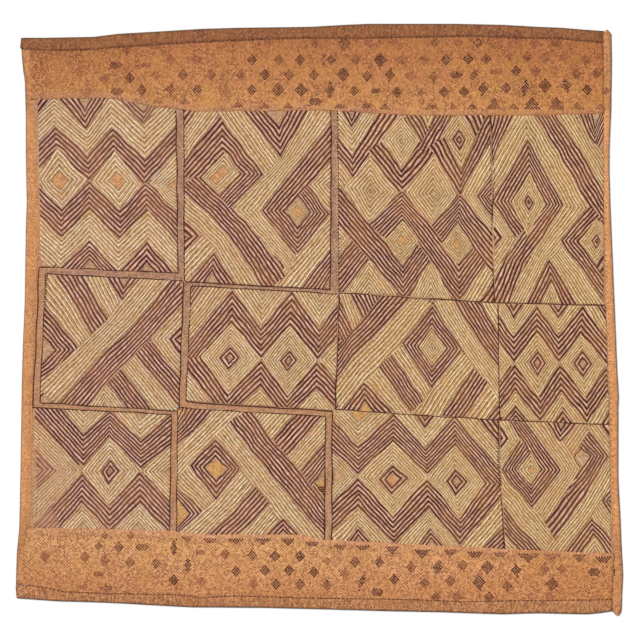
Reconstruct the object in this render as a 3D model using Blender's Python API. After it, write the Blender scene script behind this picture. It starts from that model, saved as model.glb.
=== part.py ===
"""A kuba raffia cloth, laid flat and face up.

An embroidered centre panel has a plain band sewn over its top edge and over its bottom edge, a folded
strip along its left side and a folded binding down its right side. Sizes are in millimetres: X runs
across the cloth to the right, Y runs up it, Z is up from the surface it lies on, and the origin is the
middle of the cloth's underside.
"""

from collections import namedtuple

import bpy
import numpy as np

MM = 0.001

CLOTH = 1.2  # one layer of woven raffia
PILE = 0.7  # how far the embroidery stands above the bare ground
HEM = 2.4  # the two layers of a turned hem
STRIP = 2.6  # the folded strip on the left
BINDING = 2.8  # the folded binding on the right
LIP = 3.0  # how much of a folded strip lies over what it is sewn to
TUCK = 1.5  # how far the panel reaches in under the strips
FOLD = 1.4  # how far in from a fold the cloth is rounded off
SHOULDER = 2.5  # how far in from its border a compartment reaches its full height
LAP = 5.0  # how far a band reaches over the centre panel
STEP = 4.0  # the stretch in which a band comes down to the surface past its lap
GAP = 0.3  # clear space between two pieces
TURN = 0.2  # the sliver in which a hem widens to cover the left strip's end
BAND_COLUMNS = 34
STRIP_ROWS = 40
COMPARTMENT_CELLS = 5  # cells across a compartment, between its shoulders

# A line on the cloth: place is where it lies, at distances along it.
Line = namedtuple("Line", "along place")

LEFT_SIDE = Line(
    along=(-278.5, -268.5, -232.5, -208.5, -160.5, -64.5, -28.5, 19.5, 91.5, 115.5, 163.5, 203.5,
           239.0, 247.5, 262.5, 268.5, 271.5, 281.5),
    place=(-302.5, -303.5, -302.5, -300.0, -299.0, -297.5, -296.5, -294.5, -293.5, -292.5, -293.5, -293.5,
           -294.5, -296.0, -297.5, -297.5, -299.0, -298.0),
)
RIGHT_SIDE = Line(
    along=(-295.5, -294.7, -292.5, -288.5, -280.5, -256.5, -244.5, -220.5, -196.5, -160.5, -88.5, -76.5,
           -52.5, 19.5, 67.5, 115.5, 151.5, 175.5, 211.5, 259.5, 287.5, 288.7, 289.5),
    place=(299.0, 300.6, 301.5, 302.0, 302.2, 303.5, 303.0, 301.5, 300.5, 298.5, 298.5, 299.0,
           297.5, 294.5, 292.5, 290.5, 289.5, 289.8, 291.5, 292.3, 291.5, 290.3, 288.0),
)
TOP_SIDE = Line(
    along=(-299.0, -273.5, -225.5, -201.5, -165.5, -117.5, -81.5, -9.5, 26.5, 50.5, 134.5, 182.5,
           218.5, 242.5, 266.5, 284.0),
    place=(281.5, 281.5, 282.5, 285.5, 287.5, 290.5, 291.5, 292.5, 294.5, 295.5, 295.5, 294.5,
           292.5, 291.5, 289.5, 288.3),
)
BOTTOM_SIDE = Line(
    along=(-303.5, -261.5, -225.5, -201.5, -165.5, -129.5, -57.5, 2.5, 74.5, 122.5, 182.5, 218.5,
           266.5, 278.5, 293.0),
    place=(-278.5, -281.5, -282.5, -283.5, -285.5, -287.5, -288.0, -289.5, -291.5, -292.5, -294.5, -293.5,
           -294.5, -293.5, -291.5),
)
TOP_HEM_SEAM = Line(
    along=(-299.0, -269.5, -231.5, -185.5, -118.5, -74.5, -12.5, 34.5, 100.5, 155.5, 193.5, 244.5, 284.0),
    place=(270.5, 269.0, 270.0, 273.5, 277.5, 279.5, 281.5, 281.0, 282.5, 283.5, 282.0, 280.5, 277.0),
)
BOTTOM_HEM_SEAM = Line(
    along=(-303.5, -291.5, -272.0, -256.0, -205.5, -138.5, -119.5, -83.5, -21.5, 100.5, 141.5, 193.5, 294.0),
    place=(-265.0, -266.0, -268.5, -272.5, -274.5, -275.5, -278.5, -276.5, -278.5, -280.5, -282.5, -281.5,
           -280.5),
)
FIELD_TOP = Line(
    along=(-290.0, -212.5, -158.5, -119.5, 10.5, 90.5, 215.5, 289.0),
    place=(219.5, 221.0, 211.5, 207.5, 208.5, 203.5, 203.5, 205.5),
)
FIELD_BOTTOM = Line(
    along=(-295.0, -229.5, -152.5, -119.5, -21.5, 3.5, 100.5, 178.5, 245.5, 293.5),
    place=(-207.5, -208.5, -210.5, -214.5, -214.5, -219.5, -224.5, -228.5, -231.5, -233.5),
)
LEFT_STRIP_INNER = Line(
    along=(-281.0, -225.5, -205.0, -180.5, -80.5, 19.5, 79.5, 189.5, 219.5, 281.5),
    place=(-295.5, -295.5, -289.5, -288.5, -286.5, -284.0, -280.0, -282.5, -288.5, -289.5),
)
RIGHT_STRIP_INNER = Line(
    along=(-295.5, -294.7, -292.5, -289.0, -240.5, -200.5, -160.5, -80.5, 9.5, 119.5, 199.5, 259.5, 286.5,
           288.7, 289.5),
    place=(296.0, 294.0, 293.0, 292.6, 294.2, 293.0, 291.5, 290.0, 286.5, 284.0, 284.0, 284.3, 283.0,
           284.5, 286.5),
)

# The embroidered compartments, row by row from the top left: where the left and right borders are at
# the lower and upper corners, and how high the lower and upper borders are at the left and right corners.
# A None lies on the band's seam there.
Compartment = namedtuple(
    "Compartment",
    "left_low left_high right_low right_high low_left low_right high_left high_right",
)
COMPARTMENTS = (
    (
        Compartment(-279.5, -281.5, -141.5, -143.5, 51.5, 46.5, None, None),
        Compartment(-135.0, -135.5, 10.5, 11.5, 38.0, 30.0, None, None),
        Compartment(19.5, 18.5, 174.5, 169.5, 27.5, 17.5, None, None),
        Compartment(177.0, 172.0, 284.0, 284.0, 17.0, 14.8, None, None),
    ),
    (
        Compartment(-279.5, -273.5, -140.5, -136.5, -83.0, -91.5, 45.0, 39.0),
        Compartment(-133.5, -128.5, 13.0, 18.0, -81.0, -91.0, 33.5, 25.5),
        Compartment(16.0, 20.5, 179.0, 177.5, -88.5, -99.0, 25.0, 15.5),
        Compartment(181.5, 180.0, 289.0, 286.0, -99.5, -104.0, 15.0, 12.6),
    ),
    (
        Compartment(-286.5, -284.5, -150.0, -148.0, None, None, -88.5, -95.0),
        Compartment(-142.7, -142.0, 4.5, 6.0, None, None, -88.0, -97.0),
        Compartment(12.5, 13.0, 184.0, 178.5, None, None, -92.0, -101.0),
        Compartment(186.5, 181.0, 291.0, 289.5, None, None, -102.0, -106.4),
    ),
)


def read(line, along):
    """Where a line lies at one distance, or at many."""
    return np.interp(along, line.along, line.place)


def straight(start, end):
    """The line through two corners, each an (along, place) pair."""
    return Line(*zip(*sorted((start, end))))


def closed_sheet(name, points, low, top):
    """A closed sheet from a grid of (x, y) points, with its underside at low and its face at top."""
    rows, columns = points.shape[:2]
    index = np.arange(rows * columns).reshape(rows, columns)
    quads = np.stack((index[:-1, :-1], index[:-1, 1:], index[1:, 1:], index[1:, :-1]), -1).reshape(-1, 4)
    rim = np.concatenate((index[0, :-1], index[:-1, -1], index[-1, :0:-1], index[:0:-1, 0]))
    after = np.roll(rim, -1)
    under = rows * columns
    walls = np.stack((rim + under, after + under, after, rim), -1)
    faces = np.concatenate((quads, quads[:, ::-1] + under, walls))
    flat = points.reshape(-1, 2)
    face = np.column_stack((flat, np.broadcast_to(top, (rows, columns)).ravel()))
    back = np.column_stack((flat, np.broadcast_to(low, (rows, columns)).ravel()))
    mesh = bpy.data.meshes.new(name)
    mesh.from_pydata((np.concatenate((face, back)) * MM).tolist(), [], faces.tolist())
    mesh.update()
    piece = bpy.data.objects.new(name, mesh)
    bpy.context.scene.collection.objects.link(piece)
    mesh.shade_smooth()
    mesh.set_sharp_from_angle(angle=np.radians(40))
    return piece


def fabric(piece, colour, roughness):
    """Gives a piece its own matt raffia material."""
    material = bpy.data.materials.new(piece.name)
    material.use_nodes = True
    shader = material.node_tree.nodes["Principled BSDF"]
    shader.inputs["Base Color"].default_value = (*colour, 1.0)
    shader.inputs["Roughness"].default_value = roughness
    shader.inputs["Metallic"].default_value = 0.0
    piece.data.materials.append(material)
    return piece


def ladder(name, left, right, rungs, count):
    """A sheet from rungs that run from side to side, each a (line, left line or None, underside, face)."""
    points, low, top = [], [], []
    share = np.linspace(0.0, 1.0, count)
    for line, widened, underside, face in rungs:
        across = np.zeros(count)
        for _ in range(6):
            up = line(across)
            start = read(widened or left, up)
            across = start + (read(right, up) - start) * share
        points.append(np.stack((across, line(across)), -1))
        low.append(underside)
        top.append(face)
    return closed_sheet(name, np.array(points), np.array(low)[:, None], np.array(top)[:, None])


def past(line, distance):
    """The line moved by a distance, as a function of the distance along it."""
    return lambda along: read(line, along) + distance


def between(first, second, share):
    """The line at a share of the way from the first line to the second."""
    return lambda along: read(first, along) * (1.0 - share) + read(second, along) * share


def band(name, seam, hem_seam, side, up):
    """A plain band: laid over the panel at its seam, and turned into a hem along its outer side.

    up is 1 where the outer side is above the seam and -1 where it is below.
    """
    over = CLOTH + GAP
    left = Line(LEFT_STRIP_INNER.along, np.add(LEFT_STRIP_INNER.place, GAP))
    right = Line(RIGHT_STRIP_INNER.along, np.subtract(RIGHT_STRIP_INNER.place, GAP))
    corner = LEFT_SIDE
    rungs = [
        (past(seam, 0.0), None, over, over + CLOTH * 0.5),
        (past(seam, up * FOLD), None, over, over + CLOTH),
        (past(seam, up * (LAP + GAP)), None, over, over + CLOTH),
        (past(seam, up * (LAP + GAP + STEP)), None, 0.0, CLOTH),
        (between(seam, hem_seam, 0.35), None, 0.0, CLOTH),
        (between(seam, hem_seam, 0.65), None, 0.0, CLOTH),
        (past(hem_seam, -up * FOLD), None, 0.0, CLOTH),
        (past(hem_seam, -up * TURN), None, 0.0, CLOTH),
        (past(hem_seam, 0.0), corner, 0.0, CLOTH * 1.3),
        (past(hem_seam, up * FOLD), corner, 0.0, HEM),
        (past(side, -up * FOLD), corner, 0.0, HEM),
        (past(side, 0.0), corner, 0.0, CLOTH),
    ]
    return ladder(name, left, right, rungs[::up], BAND_COLUMNS)


def strip(name, inner, outer, low, high, thickness):
    """A folded strip up one side: a lip over the panel's edge, and its outer fold rounded off."""
    heights = np.linspace(low, high, STRIP_ROWS)
    heights = np.union1d(heights, [h for h in (*inner.along, *outer.along) if low < h < high])
    start, end = read(inner, heights), read(outer, heights)
    width = np.abs(end - start)
    outward = 1 if end[0] > start[0] else -1
    roll = np.minimum(FOLD, width * 0.2)
    lip = np.minimum(LIP, width * 0.45)
    lines = (start, start + outward * roll, start + outward * lip,
             start + outward * (lip + GAP), end - outward * roll, end)
    over = CLOTH + GAP
    undersides = (over, over, over, 0.0, 0.0, 0.0)
    faces = (over + CLOTH * 0.5, thickness, thickness, thickness, thickness, CLOTH * 0.6)
    points = np.stack([np.stack((place, heights), -1) for place in lines[::outward]], 1)
    return closed_sheet(name, points, np.array(undersides[::outward])[None], np.array(faces[::outward])[None])


def compartment_points(cell, inset, shares):
    """The grid of one compartment: its border, its shoulders and what lies between them."""
    points = np.zeros((len(shares), len(shares), 2))
    on_top, on_bottom = cell.high_left is None, cell.low_left is None
    high = (cell.high_left, cell.high_right)
    low = (cell.low_left, cell.low_right)
    if on_top:
        high = tuple(read(FIELD_TOP, (cell.left_high, cell.right_high)) - GAP)
    if on_bottom:
        low = tuple(read(FIELD_BOTTOM, (cell.left_low, cell.right_low)) + GAP)
    left = straight((low[0], cell.left_low), (high[0], cell.left_high))
    right = straight((low[1], cell.right_low), (high[1], cell.right_high))
    bottom = straight((cell.left_low, low[0]), (cell.right_low, low[1]))
    top = straight((cell.left_high, high[0]), (cell.right_high, high[1]))
    for row, (up_share, up_inset) in enumerate(zip(shares, inset)):
        for column, (across_share, across_inset) in enumerate(zip(shares, inset)):
            x, y = 0.0, 0.0
            for _ in range(8):
                x_left, x_right = read(left, y), read(right, y)
                x = x_left + (x_right - x_left) * across_share + across_inset
                y_low = read(FIELD_BOTTOM, x) + GAP if on_bottom else read(bottom, x)
                y_high = read(FIELD_TOP, x) - GAP if on_top else read(top, x)
                y = y_low + (y_high - y_low) * up_share + up_inset
            points[row, column] = x, y
    return points


def centre_panel():
    """The embroidered panel: twelve raised compartments, with the bare ground between and round them."""
    middle = np.linspace(0.0, 1.0, COMPARTMENT_CELLS + 1)[1:-1]
    shares = np.concatenate(((0.0, 0.0), middle, (1.0, 1.0)))
    inset = np.concatenate(((0.0, SHOULDER), np.zeros(len(middle)), (-SHOULDER, 0.0)))
    height = np.full((len(shares), len(shares)), CLOTH)
    height[1:-1, 1:-1] = CLOTH + PILE
    grid = [
        np.concatenate([compartment_points(cell, inset, shares) for cell in row], 1)
        for row in COMPARTMENTS[::-1]
    ]
    points = np.concatenate(grid, 0)
    top = np.tile(height, (len(COMPARTMENTS), len(COMPARTMENTS[0])))

    def rim_row(row, line, distance):
        """One more row past the first or last, under the band."""
        return np.stack((row[:, 0], read(line, row[:, 0]) + distance), -1)[None]

    points = np.concatenate((rim_row(points[0], FIELD_BOTTOM, -LAP), points,
                             rim_row(points[-1], FIELD_TOP, LAP)), 0)
    top = np.pad(top, ((1, 1), (1, 1)), constant_values=CLOTH)
    heights = points[:, 0, 1], points[:, -1, 1]
    left = np.stack((read(LEFT_STRIP_INNER, heights[0]) - TUCK, heights[0]), -1)[:, None]
    right = np.stack((read(RIGHT_STRIP_INNER, heights[1]) + TUCK, heights[1]), -1)[:, None]
    return closed_sheet("centre_panel", np.concatenate((left, points, right), 1), 0.0, top)


def kuba_cloth():
    """Sews up the whole cloth: every piece hangs from one empty."""
    top_band = band("top_band", FIELD_TOP, TOP_HEM_SEAM, TOP_SIDE, 1)
    bottom_band = band("bottom_band", FIELD_BOTTOM, BOTTOM_HEM_SEAM, BOTTOM_SIDE, -1)
    above_hem = read(BOTTOM_HEM_SEAM, LEFT_SIDE.place[0]) + GAP + TURN
    below_hem = read(TOP_HEM_SEAM, LEFT_STRIP_INNER.place[-1]) - GAP - TURN
    left_strip = strip("left_strip", LEFT_STRIP_INNER, LEFT_SIDE, above_hem, below_hem, STRIP)
    tip, nub = RIGHT_SIDE.along[0], RIGHT_SIDE.along[-1]
    right_strip = strip("right_strip", RIGHT_STRIP_INNER, RIGHT_SIDE, tip, nub, BINDING)
    pieces = (
        fabric(centre_panel(), (0.40, 0.24, 0.14), 0.80),
        fabric(top_band, (0.46, 0.20, 0.08), 0.75),
        fabric(bottom_band, (0.54, 0.24, 0.10), 0.75),
        fabric(left_strip, (0.55, 0.26, 0.13), 0.75),
        fabric(right_strip, (0.62, 0.30, 0.13), 0.75),
    )
    cloth = bpy.data.objects.new("kuba_cloth", None)
    bpy.context.scene.collection.objects.link(cloth)
    for piece in pieces:
        piece.parent = cloth


for old in list(bpy.data.objects):
    bpy.data.objects.remove(old, do_unlink=True)
kuba_cloth()
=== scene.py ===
# A kuba raffia cloth, laid flat and face up: its weave, embroidery, seams and wear on the packed
# frame. Sizes are in millimetres and turned into metres where a mesh is made. Outlines are measured
# from the middle of the cloth, as in the part's source. Stitching is charted instead: a chart point
# is (across, down) from the top left corner of the 640 mm square that the cloth was charted on.

from collections import namedtuple

import bpy
import numpy as np
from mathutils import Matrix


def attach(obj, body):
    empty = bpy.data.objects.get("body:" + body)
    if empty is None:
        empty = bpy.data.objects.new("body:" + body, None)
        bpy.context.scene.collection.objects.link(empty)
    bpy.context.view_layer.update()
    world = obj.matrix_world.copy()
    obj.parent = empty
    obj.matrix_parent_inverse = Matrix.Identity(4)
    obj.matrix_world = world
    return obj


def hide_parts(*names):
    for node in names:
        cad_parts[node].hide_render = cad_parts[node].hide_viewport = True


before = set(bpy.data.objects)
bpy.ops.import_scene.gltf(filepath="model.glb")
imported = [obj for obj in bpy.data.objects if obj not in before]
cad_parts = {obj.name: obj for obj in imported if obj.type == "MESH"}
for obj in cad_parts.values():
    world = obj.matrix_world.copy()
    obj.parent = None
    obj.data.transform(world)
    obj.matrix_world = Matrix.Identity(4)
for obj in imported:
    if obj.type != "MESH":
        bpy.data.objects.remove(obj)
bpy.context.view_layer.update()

mm = 0.001
chartMiddle = 319.5
chartSize = 640.0

# A line on the cloth: place is where it lies, at distances along it. These are the part's own lines.
Line = namedtuple("Line", "along place")
leftSide = Line(
    along=(-278.5, -268.5, -232.5, -208.5, -160.5, -64.5, -28.5, 19.5, 91.5, 115.5, 163.5, 203.5,
           239.0, 247.5, 262.5, 268.5, 271.5, 281.5),
    place=(-302.5, -303.5, -302.5, -300.0, -299.0, -297.5, -296.5, -294.5, -293.5, -292.5, -293.5, -293.5,
           -294.5, -296.0, -297.5, -297.5, -299.0, -298.0),
)
rightSide = Line(
    along=(-295.5, -294.7, -292.5, -288.5, -280.5, -256.5, -244.5, -220.5, -196.5, -160.5, -88.5, -76.5,
           -52.5, 19.5, 67.5, 115.5, 151.5, 175.5, 211.5, 259.5, 287.5, 288.7, 289.5),
    place=(299.0, 300.6, 301.5, 302.0, 302.2, 303.5, 303.0, 301.5, 300.5, 298.5, 298.5, 299.0,
           297.5, 294.5, 292.5, 290.5, 289.5, 289.8, 291.5, 292.3, 291.5, 290.3, 288.0),
)
topSide = Line(
    along=(-299.0, -273.5, -225.5, -201.5, -165.5, -117.5, -81.5, -9.5, 26.5, 50.5, 134.5, 182.5,
           218.5, 242.5, 266.5, 284.0),
    place=(281.5, 281.5, 282.5, 285.5, 287.5, 290.5, 291.5, 292.5, 294.5, 295.5, 295.5, 294.5,
           292.5, 291.5, 289.5, 288.3),
)
bottomSide = Line(
    along=(-303.5, -261.5, -225.5, -201.5, -165.5, -129.5, -57.5, 2.5, 74.5, 122.5, 182.5, 218.5,
           266.5, 278.5, 293.0),
    place=(-278.5, -281.5, -282.5, -283.5, -285.5, -287.5, -288.0, -289.5, -291.5, -292.5, -294.5, -293.5,
           -294.5, -293.5, -291.5),
)
topHemSeam = Line(
    along=(-299.0, -269.5, -231.5, -185.5, -118.5, -74.5, -12.5, 34.5, 100.5, 155.5, 193.5, 244.5, 284.0),
    place=(270.5, 269.0, 270.0, 273.5, 277.5, 279.5, 281.5, 281.0, 282.5, 283.5, 282.0, 280.5, 277.0),
)
bottomHemSeam = Line(
    along=(-303.5, -291.5, -272.0, -256.0, -205.5, -138.5, -119.5, -83.5, -21.5, 100.5, 141.5, 193.5,
           294.0),
    place=(-265.0, -266.0, -268.5, -272.5, -274.5, -275.5, -278.5, -276.5, -278.5, -280.5, -282.5, -281.5,
           -280.5),
)
fieldTop = Line(
    along=(-290.0, -212.5, -158.5, -119.5, 10.5, 90.5, 215.5, 289.0),
    place=(219.5, 221.0, 211.5, 207.5, 208.5, 203.5, 203.5, 205.5),
)
fieldBottom = Line(
    along=(-295.0, -229.5, -152.5, -119.5, -21.5, 3.5, 100.5, 178.5, 245.5, 293.5),
    place=(-207.5, -208.5, -210.5, -214.5, -214.5, -219.5, -224.5, -228.5, -231.5, -233.5),
)
leftStripInner = Line(
    along=(-281.0, -225.5, -205.0, -180.5, -80.5, 19.5, 79.5, 189.5, 219.5, 281.5),
    place=(-295.5, -295.5, -289.5, -288.5, -286.5, -284.0, -280.0, -282.5, -288.5, -289.5),
)
rightStripInner = Line(
    along=(-295.5, -294.7, -292.5, -289.0, -240.5, -200.5, -160.5, -80.5, 9.5, 119.5, 199.5, 259.5, 286.5,
           288.7, 289.5),
    place=(296.0, 294.0, 293.0, 292.6, 294.2, 293.0, 291.5, 290.0, 286.5, 284.0, 284.0, 284.3, 283.0,
           284.5, 286.5),
)

# Thicknesses and folds, as in the part's source
cloth = dict(thick=1.2, hem=2.4, strip=2.6, binding=2.8, lip=3.0, tuck=1.5, fold=1.4, lap=5.0, step=4.0,
             gap=0.3, grid=3.6, pad=0.45)

# One row of stitching: the corners of its first line and of its last, and how many lines fill the way
# from one to the other.
Row = namedtuple("Row", "thread lines first last fade", defaults=(0.0,))
# Rows go on under their neighbours for this many more lines.
skirt = 1.7
# A row has tones of its own for this many lines before its first and past its last.
spareLines = 4
dark, light = "dark", "light"


# The corners of a lozenge, once round.
def ring(left, top, right, bottom):
    return [left, top, right, bottom, left]


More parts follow.
